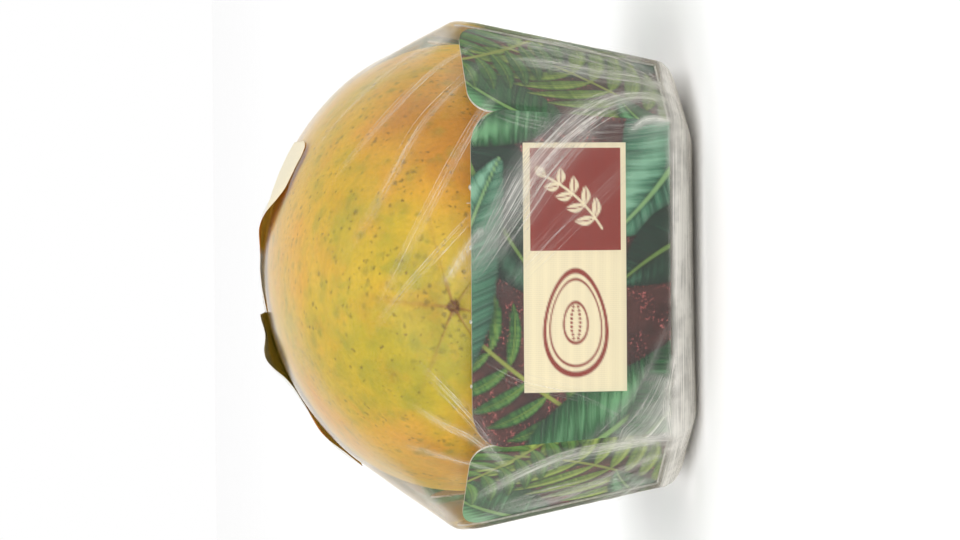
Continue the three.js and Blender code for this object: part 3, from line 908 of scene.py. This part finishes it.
def make_nicks(walls, material):
    """Small white tufts of torn paper on the walls' top edges, and one longer fibre."""
    points, faces = [], []
    draws = np.random.default_rng(17)
    around = turns(NICK_SIDES)
    for wall in walls:
        for share, size in NICKS:
            across = share * (wall.high_half - PANEL_ROUND)
            top = wall.height - wall.dip(np.array(across), wall.height)
            thin, high = (0.1, 0.9) if size > 1 else (1.0, 0.5)
            first = len(points)
            for tilt in np.linspace(-1.45, 1.45, NICK_RINGS):
                rough = draws.uniform(0.6, 1.15, NICK_SIDES)
                wide = size * thin * math.cos(tilt) * rough
                points.extend(wall.point(across + np.cos(around) * wide,
                                         top + size * high * math.sin(tilt) + 0.2 * rough,
                                         -CARD / 2 + np.sin(around) * wide * 0.8))
            faces.extend(grid_faces(NICK_RINGS, NICK_SIDES, joins=True, first=first))
            faces.append([first + n for n in reversed(range(NICK_SIDES))])
            faces.append([first + (NICK_RINGS - 1) * NICK_SIDES + n for n in range(NICK_SIDES)])
    add_piece("tray_nicks", points, faces, [material], "tray")


def make_wall(materials, number, name, step, paint, lines_across=(), lines_up=()):
    """A wall of card: the printed face as a fine grid, the plain back, and the white cut edge."""
    wall = Wall(number)
    heights, halves = wall.profile(step, lines_up)
    fixed = beside(lines_across)
    stops = [-1.0] + [place / wall.high_half for place in fixed] + [1.0]
    shares = np.linspace(-1, 1, int(2 * wall.high_half / step))
    shares = np.unique(np.concatenate([shares, stops]))
    reach = max(map(abs, lines_across), default=1.0) + 0.5
    rows = []
    for half in halves:
        squeeze = min(1.0, (half - 1.0) / reach)
        marks = [-half] + [place * squeeze for place in fixed] + [half]
        rows.append(np.interp(shares, stops, marks))
    across = np.concatenate(rows)
    up = np.repeat(heights, len(shares))
    up = up - wall.dip(across, up)
    columns, count, last = len(shares), len(across), len(heights) - 1
    setback = CORNER_SETBACK if wall.corner else 0.0
    outer = wall.point(across, up, np.full(count, -setback))
    faces = grid_faces(len(heights), columns)
    rim = (list(range(columns)) + [r * columns + columns - 1 for r in range(1, last + 1)]
           + [last * columns + c for c in range(columns - 2, -1, -1)]
           + [r * columns for r in range(last - 1, 0, -1)])
    slots = [0] * len(faces) + [2] * len(rim) + [1]
    for i in range(len(rim)):
        j = (i + 1) % len(rim)
        faces.append([rim[j], rim[i], count + i, count + j])
    faces.append([count + i for i in reversed(range(len(rim)))])
    piece = add_piece(name, np.concatenate([outer, outer[rim] - wall.out * CARD]), faces,
                      materials, "tray", slots, smooth_faces=False)
    art = Art(across, up, 100 + number)
    paint(art)
    worn = 0.5 + 0.5 * flat_noise(across, up, 2.0, 77)
    tint(art.rgb, 0.35 * np.exp(-up / 0.5) * worn, (190, 188, 176))
    blank = np.full((len(rim), 3), 0.7)
    store(piece, "print", np.concatenate([art.rgb, blank]), "FLOAT_COLOR")
    store(piece, "soil", np.append(art.soil, np.zeros(len(rim))))


def make_tabs(materials):
    """Glue tabs behind both ends of each long wall and end wall."""
    points, faces = [], []
    for number in range(0, 8, 2):
        wall = Wall(number)
        for side in (-1, 1):
            low, high = side * wall.low_half, side * wall.high_half
            shape = [(low + (high - low) * share - side * inset, wall.height * share_up + lift)
                     for share, inset, share_up, lift in (
                         (0, TAB_INSET, 0, TAB_INSET), (0.88, TAB_INSET, 0.88, 0),
                         (0.8, TAB_WIDTH, 0.78, 0), (0, TAB_WIDTH, 0.05, 0))]
            first = len(points)
            for out in (-CARD - TAB_GAP, -2 * CARD - TAB_GAP):
                points.extend(wall.point(*np.array(shape[::side]).T, np.full(4, out)))
            faces.append([first + n for n in range(4)])
            faces.append([first + 7 - n for n in range(4)])
            for n in range(4):
                m = (n + 1) % 4
                faces.append([first + m, first + n, first + 4 + n, first + 4 + m])
    add_piece("tray_tabs", points, faces, materials, "tray", smooth_faces=False)


def make_floor_card(materials):
    """The bowed floor of the tray."""
    edge = outline(0)
    ring = np.concatenate([np.linspace(edge[k], edge[(k + 1) % 8], FLOOR_SIDE_STEPS,
                                       endpoint=False) for k in range(8)])
    shares = np.linspace(0.02, 0.996, FLOOR_RINGS)
    layers = []
    for lift, order in ((0.0, shares), (CARD, shares[::-1])):
        for share in order:
            z = SAG_Z + (FOLD_Z - SAG_Z) * smooth(share, SAG_START, 1.0) ** SAG_POWER
            layers.append(np.column_stack([ring[:, :2] * share, np.full(len(ring), z + lift)]))
    points = np.concatenate(layers + [[[0, 0, SAG_Z], [0, 0, SAG_Z + CARD]]])
    add_piece("tray_floor", points, closed_faces(len(layers), len(ring)), materials,
              "tray")


def make_tray():
    edge = board_material("cut_edge", (232, 230, 222), (196, 190, 178), 1.5)
    board = board_material("card_back", (232, 229, 220), (212, 206, 194), 0.9)
    materials = [print_material(), board, edge]
    for wall in WALLS:
        make_wall(materials, *wall)
    make_nicks([Wall(number) for number in NICKED_WALLS], edge)
    make_tabs([board])
    make_floor_card([board])


# Film

class Wrap:
    """The tightest wrap round the fruit and the tray, and how far rays run before they meet
    it."""

    def __init__(self):
        along, around, _ = fruit_grid(72, 44, 8)
        cloud = [fruit_points(along, around)[0]]
        for number in range(8):
            wall = Wall(number)
            heights, halves = wall.profile(6.0)
            for side in (-1, 1):
                cloud.append(wall.point(side * halves, heights))
        bm = bmesh.new()
        for point in np.concatenate(cloud):
            bm.verts.new(point)
        bmesh.ops.convex_hull(bm, input=bm.verts)
        bm.normal_update()
        self.normals = np.array([face.normal[:] for face in bm.faces])
        self.offsets = np.array([face.normal.dot(face.verts[0].co) for face in bm.faces])
        bm.free()
        inward = self.normals @ EYE > self.offsets
        self.normals[inward] *= -1
        self.offsets[inward] *= -1

    def reach(self, starts, ways, gap):
        """Distance along each ray to the wrap moved out by gap."""
        found = np.empty(len(starts))
        for first in range(0, len(starts), RAYS_AT_ONCE):
            part = slice(first, first + RAYS_AT_ONCE)
            speed = ways[part] @ self.normals.T
            room = self.offsets + gap - starts[part] @ self.normals.T
            room[speed < 1e-6] = np.inf
            speed[speed < 1e-6] = 1
            found[part] = (room / speed).min(1)
        return found

    def seen(self, pixels, gap):
        """The wrap's points behind places in the photograph, and whether each place is on it."""
        x_axis, y_axis, back = (np.array(axis) for axis in camera_axes())
        eye = (np.array(CAMERA_TARGET) + back * CAMERA_DISTANCE) / MM
        right = (pixels[:, 0] - TARGET_PIXEL[0]) / FOCAL_PIXELS
        up = (TARGET_PIXEL[1] - pixels[:, 1]) / FOCAL_PIXELS
        ways = right[:, None] * x_axis + up[:, None] * y_axis - back
        speed = ways @ self.normals.T
        far = (self.offsets + gap - self.normals @ eye) / np.where(speed == 0, 1e-9, speed)
        enter = np.where(speed < 0, far, -np.inf).max(1)
        leave = np.where(speed > 0, far, np.inf).min(1)
        return eye + ways * enter[:, None], enter < leave - 4

    def beyond(self, x, z, gap, facing):
        """The wrap's points straight out from inside, on a side or the back, and whether each
        place lies well inside to begin with."""
        way = np.array([*facing, 0.0])
        across = np.array([-facing[1], facing[0], 0.0])
        starts = x[:, None] * across + z[:, None] * np.array([0, 0, 1.0])
        ways = np.broadcast_to(way, starts.shape)
        inside = (self.offsets - starts @ self.normals.T).min(1) > 2.5
        return starts + way * self.reach(starts, ways, gap)[:, None], inside


# Drawn folds of the film, each a path that its streaks follow: places with a width, how milky it
# is, how strong its streaks are and how many single strands stand out of it. At the front the
# places are read off the photograph's pixels.
FRONT_FOLDS = [
    ([(684, 118, 9), (650, 97, 10), (606, 103, 15), (566, 130, 16), (530, 170, 15), (503, 216, 13),
      (480, 256, 9), (455, 292, 5)], 0.3, 0.8, 34),
    ([(684, 104, 12), (652, 84, 14), (600, 74, 14), (548, 64, 13), (500, 60, 10)], 0.26, 0.5, 30),
    ([(672, 92, 8), (630, 66, 9), (560, 44, 9), (505, 38, 8)], 0.1, 0.35, 14),
    ([(676, 122, 3), (650, 119, 4), (634, 128, 2), (626, 135, 1)], 0.5, 0.4, 3),
    ([(600, 118, 9), (556, 168, 11), (530, 205, 10), (498, 252, 8), (470, 290, 5)], 0.1, 0.45, 14),
    ([(666, 130, 6), (600, 190, 10), (540, 250, 10), (486, 310, 6)], 0.02, 0.22, 6),
    ([(672, 122, 1.5), (669, 160, 2), (673, 186, 1.5), (682, 215, 1)], 0.2, 0.1, 2),
    ([(498, 92, 4), (470, 133, 6), (420, 225, 6), (370, 325, 4)], 0.06, 0.4, 9),
    ([(484, 60, 5), (426, 120, 7), (385, 190, 7), (338, 270, 4)], 0.05, 0.4, 9),
    ([(474, 44, 5), (430, 74, 7), (383, 122, 7), (322, 194, 5)], 0.05, 0.35, 9),
    ([(462, 34, 5), (404, 62, 7), (350, 108, 7), (306, 160, 5)], 0.05, 0.3, 7),
    ([(482, 206, 4), (450, 240, 5), (404, 292, 5), (366, 340, 3)], 0.03, 0.3, 5),
    ([(484, 226, 3.5), (466, 250, 4), (450, 275, 3.5), (440, 287, 2)], 0.34, 0.4, 4),
    ([(506, 466, 4), (470, 438, 5), (438, 422, 5), (408, 402, 3)], 0.2, 0.5, 8),
    ([(504, 460, 3), (470, 418, 6), (440, 386, 6), (418, 362, 4)], 0.05, 0.4, 9),
    ([(506, 474, 3), (462, 462, 5), (430, 452, 6), (396, 444, 5)], 0.05, 0.4, 8),
    ([(686, 442, 8), (650, 441, 9), (600, 449, 10), (556, 460, 10), (510, 480, 10), (470, 503, 9)],
     0.34, 0.7, 30),
    ([(684, 448, 6), (640, 462, 9), (575, 492, 11), (505, 514, 9)], 0.12, 0.5, 20),
    ([(692, 318, 20), (676, 372, 24), (648, 424, 24), (604, 458, 14)], 0.3, 0.45, 16),
    ([(671, 318, 1.2), (640, 384, 1.6), (598, 432, 1.6), (572, 452, 1)], 0.12, 0.1, 3),
    ([(676, 290, 3), (675, 350, 5), (668, 400, 6), (672, 440, 6)], 0.3, 0.6, 10),
    ([(660, 440, 8), (590, 400, 10), (520, 380, 10), (470, 350, 8)], 0.0, 0.16, 3),
    ([(690, 96, 10), (640, 76, 16), (560, 52, 18), (470, 36, 14)], 0.06, 0.5, 26),
    ([(690, 462, 8), (620, 478, 12), (540, 496, 14), (470, 520, 10)], 0.05, 0.45, 22),
    ([(668, 128, 8), (590, 134, 12), (530, 124, 12), (480, 108, 8)], 0.03, 0.3, 10),
]
# On the other sides each starts at the foot, so far across from the side's middle, and leans in
SIDE_STARTS = (((0, 1), ((0, 46.0), (1, -50.0))), ((1, 0), ((2, 71.0), (3, -66.0))),
               ((-1, 0), ((2, 71.0), (3, -66.0))))
SIDE_FOLD = ((1, 6, 4), (0.86, 17, 4), (0.62, 36, 5), (0.42, 56, 4), (0.3, 72, 2))
SIDE_MARKS = (0.3, 0.6, 14)
SIDE_SEED = 30


def smooth_path(knots, count=46):
    """A smooth run of count places, each with its width, through a few knots."""
    knots = np.array(knots, float)
    place = np.linspace(0, len(knots) - 1, count)
    i = np.clip(place.astype(int), 0, len(knots) - 2)
    f = (place - i)[:, None]
    ends = np.vstack([2 * knots[0] - knots[1], knots, 2 * knots[-1] - knots[-2]])
    a, b, c, d = (ends[i + n] for n in range(4))
    return 0.5 * (2 * b + (c - a) * f + (2 * a - 5 * b + 4 * c - d) * f ** 2
                  + (3 * b - a - 3 * c + d) * f ** 3)


class Fold:
    """One drawn fold of film: a path on the wrap and how it marks the film beside it."""

    def __init__(self, path, widths, milk, streaks, strands, seed):
        self.path, self.widths, self.milk = path, np.maximum(widths, 0.15), milk
        self.streaks, self.strands, self.seed = streaks, strands, seed
        self.ahead = unit(np.gradient(path, axis=0))
        self.out = unit(path - np.array([0, path[:, 1].mean() * 0.4, 40.0]))
        self.side = unit(np.cross(self.ahead, self.out))
        steps = np.linalg.norm(np.diff(path, axis=0), axis=1)
        self.run = np.append(0, np.cumsum(steps))

    def mark(self, points):
        """For the points near the fold: which they are, their streak places, and its strength."""
        room = self.widths.max() * 2.2
        close = (points > self.path.min(0) - room) & (points < self.path.max(0) + room)
        chosen = np.flatnonzero(close.all(1))
        if not len(chosen):
            return chosen, np.zeros((0, 3)), np.zeros(0)
        parts = np.array_split(chosen, 1 + len(chosen) // POINTS_AT_ONCE)
        near = np.concatenate([((points[part][:, None] - self.path) ** 2).sum(-1).argmin(1)
                               for part in parts])
        away = points[chosen] - self.path[near]
        across = (away * self.side[near]).sum(1) / np.maximum(self.widths[near], MARK_WIDTH)
        along = self.run[near] + (away * self.ahead[near]).sum(1)
        share = along / self.run[-1]
        ends = smooth(share, -0.02, 0.1) * smooth(1 - share, -0.02, 0.3)
        places = np.stack([across * (2 + self.widths.mean() * 1.5), along / 24,
                           np.full(len(along), self.seed * 3.7)], 1)
        return chosen, places, np.exp(-1.3 * across ** 2) * ends


def find_folds(wrap):
    """All folds, laid on the wrap."""
    folds = []
    for n, (knots, *marks) in enumerate(FRONT_FOLDS):
        run = smooth_path(knots)
        path, hit = wrap.seen(run[:, :2], FILM_GAP)
        folds.append(Fold(path[hit], run[hit, 2] * PIXEL, *marks, n))
    for facing, starts in SIDE_STARTS:
        for n, start in starts:
            run = smooth_path([(start * share, up, width) for share, up, width in SIDE_FOLD])
            path, inside = wrap.beyond(run[:, 0], run[:, 1], FILM_GAP, facing)
            folds.append(Fold(path[inside], run[inside, 2], *SIDE_MARKS, SIDE_SEED + n))
    return folds


def film_marks(points, folds):
    """How milky the film is, the places of its streaks and how strong they are."""
    x, y, z = points.T
    places = np.stack([z * 2.1, np.arctan2(y, x) * 3.0, np.full(len(points), 90.0)], 1)
    low = smooth(-z, -FOLD_Z - 0.6, -FOLD_Z + 1.6)
    weight = 0.55 * low
    clear = np.linalg.norm((points - FRUIT_CENTRE) / FRUIT_HALF, axis=1) - 1
    wings = smooth(clear, 0.06, 0.2) * smooth(z, 60, 63) * smooth(66 - np.abs(y), 0, 14)
    haze = CLEAR_HAZE + WING_HAZE * wings
    crumple = 0.42 + 0.2 * noises(points, (1, 1.7, 62), (0.5, 0.9, 63))
    for end in (-1, 1):
        for side in (-1, 1):
            far = np.hypot(np.hypot(x - side * KNOT[0], z - KNOT[2]), (y - end * KNOT[1]) * 0.6)
            haze += bell(far, KNOT[3]) * crumple
    for fold in folds:
        chosen, along, strength = fold.mark(points)
        haze[chosen] += strength * fold.milk
        stronger = strength * fold.streaks > weight[chosen]
        chosen, along, strength = chosen[stronger], along[stronger], strength[stronger]
        places[chosen], weight[chosen] = along, strength * fold.streaks
    band = 0.86 + noises(points * np.array([0.06, 0.06, 1.0]), (0.12, 1.1, 61))
    haze = haze * (1 - low) + band * low
    return np.clip(haze, 0.0, MOST_HAZE), places, weight


def film_grid(wrap):
    """Rows of points of the film: folded flat underneath, the belly, the walls and the dome."""
    corners = outline(1)
    angles = []
    for k in range(8):
        a, b = corners[k], corners[(k + 1) % 8]
        count = int(np.linalg.norm(b - a) / RIM_STEPS.get(k, RIM_STEP))
        line = np.linspace(a, b, count, endpoint=False)
        angles.append(np.arctan2(line[:, 1], line[:, 0]))
    angles = np.concatenate(angles)
    ways = np.stack([np.cos(angles), np.sin(angles), np.zeros(len(angles))], 1)

    def level(z):
        starts = np.zeros((len(angles), 3))
        starts[:, 2] = z
        return wrap.reach(starts, ways, FILM_GAP)[:, None]

    base = level(FOLD_Z)
    belly = (BELLY[0] + (BELLY[1] - BELLY[0]) * (1 + np.cos(angles)) / 2)[:, None]
    slot = (1 / np.hypot(np.cos(angles) / SLOT_HALF[0], np.sin(angles) / SLOT_HALF[1]))[:, None]
    rows = [ways * (slot + (base - belly - slot) * share) + [0, 0, FILM_FLOOR]
            for share in np.linspace(0, 1, FILM_ROWS[0], endpoint=False)]
    for turn in np.linspace(0, math.pi / 2, FILM_ROWS[1], endpoint=False):
        rows.append(ways * (base - belly * (1 - math.sin(turn)))
                    + [0, 0, FILM_FLOOR + (FOLD_Z - FILM_FLOOR) * (1 - math.cos(turn))])
    for z in np.linspace(FOLD_Z, RIM_Z, FILM_ROWS[2], endpoint=False):
        rows.append(ways * level(z) + [0, 0, z])
    for share in np.linspace(0, 1, FILM_ROWS[3], endpoint=False):
        tilt = share ** 1.1 * math.pi / 2
        upward = ways * math.cos(tilt) + [0, 0, math.sin(tilt)]
        starts = np.broadcast_to(EYE, upward.shape)
        rows.append(EYE + upward * wrap.reach(starts, upward, FILM_GAP)[:, None])
    grid = np.array(rows)
    for _ in range(2):
        grid[1:-1] = (grid[:-2] + 2 * grid[1:-1] + grid[2:]) / 4
        grid = (np.roll(grid, 1, 1) + 2 * grid + np.roll(grid, -1, 1)) / 4
    return grid


def make_film(wrap, folds, material):
    """The film as one fine skin, ridged along its folds."""
    grid = film_grid(wrap)
    columns = grid.shape[1]
    points = grid.reshape(-1, 3)
    haze, places, weight = film_marks(points, folds)
    outward = points - np.array([0, 0, 40.0])
    outward[:, 2] *= smooth(points[:, 2], 50, 75)
    ridges = (lattice_noise(places * [0.7, 1, 1], 1.0, 71)
              + 0.6 * lattice_noise(places * [1.6, 1.5, 1], 1.0, 72))
    low = smooth(-points[:, 2], -10, -4)
    push = 0.26 * ridges * np.clip(weight * 1.3, 0, 1) + noises(points, (0.12, 14, 74))
    push += np.clip(haze - 0.3, 0, 0.4) * noises(points, (0.3, 1.5, 75)) * (1 - low)
    push *= 0.4 + 0.6 * smooth(points[:, 2], FILM_FLOOR + 0.2, 3)
    points = points + unit(outward) * push[:, None]
    points[:, 2] = np.maximum(points[:, 2], FILM_FLOOR)
    faces = grid_faces(len(grid), columns, joins=True)
    top = len(points)
    points = np.concatenate([points, [grid[-1].mean(0)]])
    faces += [[top, top - columns + i, top - columns + (i + 1) % columns] for i in range(columns)]
    film = add_piece("film_wrap", points, faces, [material], "film")
    store(film, "haze", np.append(haze, 0.02))
    store(film, "fan", np.vstack([places, places[-1:]]), "FLOAT_VECTOR")
    store(film, "fan_weight", np.append(weight, 0))


def make_strands(folds, material):
    """Single strands that stand out of the folds, as thin ribbons just off the film."""
    points, faces, haze = [], [], []
    draws = np.random.default_rng(29)
    for fold in [fold for fold in folds for _ in range(fold.strands)]:
        count = len(fold.path)
        start = int(draws.uniform(0, 0.45) * count)
        stop = int(start + draws.uniform(0.35, 1.0) * (count - start))
        if stop - start < 6:
            continue
        part = slice(start, stop)
        share = np.linspace(0, 1, stop - start)
        offset = np.clip(draws.normal(0, 0.5), -1.1, 1.1) + draws.normal(0, 0.12)
        sway = offset + 0.1 * np.sin(share * draws.uniform(2, 6) + offset * 9)
        path = (fold.path[part] + fold.side[part] * (fold.widths[part] * sway)[:, None]
                + fold.out[part] * STRAND_LIFT)
        taper = np.sin(math.pi * np.clip(share, 0.01, 0.99) ** 0.8) ** 0.6
        width = draws.choice(STRAND_WIDTHS[0], p=STRAND_WIDTHS[1])
        widths = width * taper * (1 + 0.35 * np.sin(share * 15 + offset * 30))
        strength = draws.uniform(0.12, 0.48) * (0.4 + fold.streaks)
        first = len(points)
        for point, way, wide in zip(path, fold.side[part], widths):
            points.extend(point + way * wide / 2 * s for s in STRAND_SPREAD)
        haze.extend(np.repeat(strength * taper, len(STRAND_SPREAD)))
        faces.extend(grid_faces(stop - start, len(STRAND_SPREAD), first=first))
    strands = add_piece("film_strands", points, faces, [material], "film")
    store(strands, "haze", haze)


# Label

def humps(x, parts):
    """A sum of smooth humps, each from its place, width and height."""
    return sum(height * bell(x - place, width) for place, width, height in parts)


def label_lift(x, deep):
    """How far the paper stands off the film. deep is the distance from its front edge."""
    loose = np.clip(1 - deep / SLIT_DEEP, 0, 1) ** 1.4
    stand = humps(x, LOOSE_PARTS) + (x < SLIT_X) * humps(x, SLIT_PARTS)
    return 0.16 + 0.16 * smooth(deep, 0, 3) + stand * loose


def make_label(wrap):
    """The paper label: a thin sheet over the crown with a loose wavy front edge and one slit."""
    xs = np.unique(np.append(np.linspace(*LABEL_ACROSS, LABEL_GRID[0]),
                             [SLIT_X - SLIT_HALF, SLIT_X + SLIT_HALF]))
    ys = np.linspace(*LABEL_DEEP, LABEL_GRID[1])
    x, y = (part.ravel() for part in np.meshgrid(xs, ys))
    middle_x, middle_y = np.mean(LABEL_ACROSS), np.mean(LABEL_DEEP)
    half_x, half_y = LABEL_ACROSS[1] - middle_x, LABEL_DEEP[1] - middle_y
    over = np.clip(np.abs(y - middle_y) - (half_y - LABEL_ROUND), 0, LABEL_ROUND)
    shrink = LABEL_ROUND - np.sqrt(LABEL_ROUND ** 2 - over ** 2)
    placed = middle_x + (x - middle_x) * (half_x - shrink) / half_x
    forward = FORWARD * smooth(x, *FORWARD_RUN) * np.clip((18 - y) / 32, 0, 1) ** 2
    starts = np.stack([placed, y - forward, np.full(len(x), 50.0)], 1)
    ways = np.broadcast_to(np.array([0, 0, 1.0]), starts.shape)
    base = starts + ways * wrap.reach(starts, ways, FILM_GAP)[:, None]
    grid = base.reshape(len(ys), len(xs), 3)
    normal = unit(np.cross(np.gradient(grid, axis=1), np.gradient(grid, axis=0)).reshape(-1, 3))
    points = base + normal * label_lift(x, y - LABEL_DEEP[0])[:, None]
    slit = int(np.searchsorted(xs, SLIT_X)) - 1
    faces = [face for face in grid_faces(len(ys), len(xs))
             if not (face[0] % len(xs) == slit and y[face[0]] - LABEL_DEEP[0] < SLIT_DEEP)]
    materials = [label_material("label_print", "print", 0.2),
                 label_material("label_back_painted_light", "under", 0.5)]
    label = add_piece("label_paper", points, faces, materials, "label")
    paint_label(label, x, y)
    thick = label.modifiers.new("paper", "SOLIDIFY")
    thick.thickness = LABEL_PAPER * MM
    thick.offset = 0
    thick.material_offset = 1
    apply_modifiers(label)


def paint_label(label, x, y):
    """Plain paper with a cream end, an olive band, small leaves and short marks, and on its back
    painted bounce light from the fruit and painted shade under the lifted flaps."""
    art = Art(x, y, 300)
    art.cover(np.ones(len(x)), linear(240, 240, 236))
    art.cover(smooth(x, 18.6, 19.0), linear(243, 235, 205))
    art.box(*LABEL_BAND)
    for n, place in enumerate((-36, -28, -20)):
        art.blade((place, 0), (place + 5, 13), 4.6, MOSS, bend=0.8 * (-1) ** n, veins=40, rib=0.3,
                  shadow=0.2)
    for mark in SHORT_MARKS + LONG_MARKS:
        art.box(*mark)
    store(label, "print", art.rgb, "FLOAT_COLOR")
    # The back's colours are painted light: gold and lighter gold for the fruit's bounce light, a
    # warmer tone at the left end's lift, and olive with dark gold at the slit flap for painted
    # shade. The middle stays plain white paper.
    deep = y - LABEL_DEEP[0]
    olive = smooth(SLIT_X - x, 0, 0.2) * smooth(x, -38, -32)
    under = np.tile(linear(236, 178, 72), (len(x), 1))
    for share, colour in ((smooth(-x, 32, 38), (236, 172, 96)), (olive, (146, 138, 104)),
                          ((1 - olive) * smooth(deep, 2, 7), (240, 200, 84)),
                          (olive * smooth(deep, 1.5, 6), (176, 150, 50)),
                          (smooth(7.5 - np.abs(x), 0, 3), (240, 240, 236))):
        tint(under, share, colour)
    store(label, "under", under, "FLOAT_COLOR")


def apply_modifiers(piece):
    """Writes the piece's modifiers into its mesh."""
    graph = bpy.context.evaluated_depsgraph_get()
    made = bpy.data.meshes.new_from_object(piece.evaluated_get(graph), depsgraph=graph)
    made.name = piece.data.name + "_final"
    piece.modifiers.clear()
    piece.data = made


# Stage

def make_stage():
    """A pale floor, a white sky, and two broad lamps, one in front and one above."""
    bpy.ops.mesh.primitive_plane_add(size=FLOOR_SIZE, location=(0, 0, 0))
    floor = bpy.context.object
    floor.name = "floor"
    s = Shader("floor_paint")
    pale = s.grey(s.ramp(s.noise(s.place(), 0.02, 2), 0.3, 0.7, 0.965, 0.975))
    floor.data.materials.append(s.principled(Base_Color=pale, Roughness=0.9))
    scene = bpy.context.scene
    scene.world = bpy.data.worlds.new("sky")
    scene.world.use_nodes = True
    sky = scene.world.node_tree.nodes["Background"].inputs
    sky["Color"].default_value = (1, 1, 1, 1)
    sky["Strength"].default_value = 1.0
    for name, place, size, power in LAMPS:
        lamp = bpy.data.lights.new(name, "AREA")
        lamp.size, lamp.energy = size, power
        light = bpy.data.objects.new(name, lamp)
        light.location = place
        aim = CAMERA_TARGET - Vector(place)
        light.rotation_euler = aim.to_track_quat("-Z", "Y").to_euler()
        scene.collection.objects.link(light)
    scene.view_settings.view_transform = "Standard"
    scene.view_settings.look = "None"


def make_camera():
    """The photograph's view. Its right is the pack's down, and its top is the pack's right."""
    x_axis, y_axis, back = camera_axes()
    data = bpy.data.cameras.new("camera")
    data.sensor_width = SENSOR_MM
    data.lens = FOCAL_PIXELS / FRAME_PIXELS[0] * SENSOR_MM
    data.shift_x = (FRAME_PIXELS[0] / 2 - TARGET_PIXEL[0]) / FRAME_PIXELS[0]
    data.shift_y = (TARGET_PIXEL[1] - FRAME_PIXELS[1] / 2) / FRAME_PIXELS[0]
    camera = bpy.data.objects.new("camera", data)
    bpy.context.scene.collection.objects.link(camera)
    camera.matrix_world = Matrix((x_axis, y_axis, back)).transposed().to_4x4()
    camera.location = CAMERA_TARGET + back * CAMERA_DISTANCE
    bpy.context.scene.camera = camera


make_camera()
make_stage()
make_fruit()
make_tray()
wrap = Wrap()
folds = find_folds(wrap)
make_film(wrap, folds, film_material())
make_strands(folds, strand_material())
make_label(wrap)
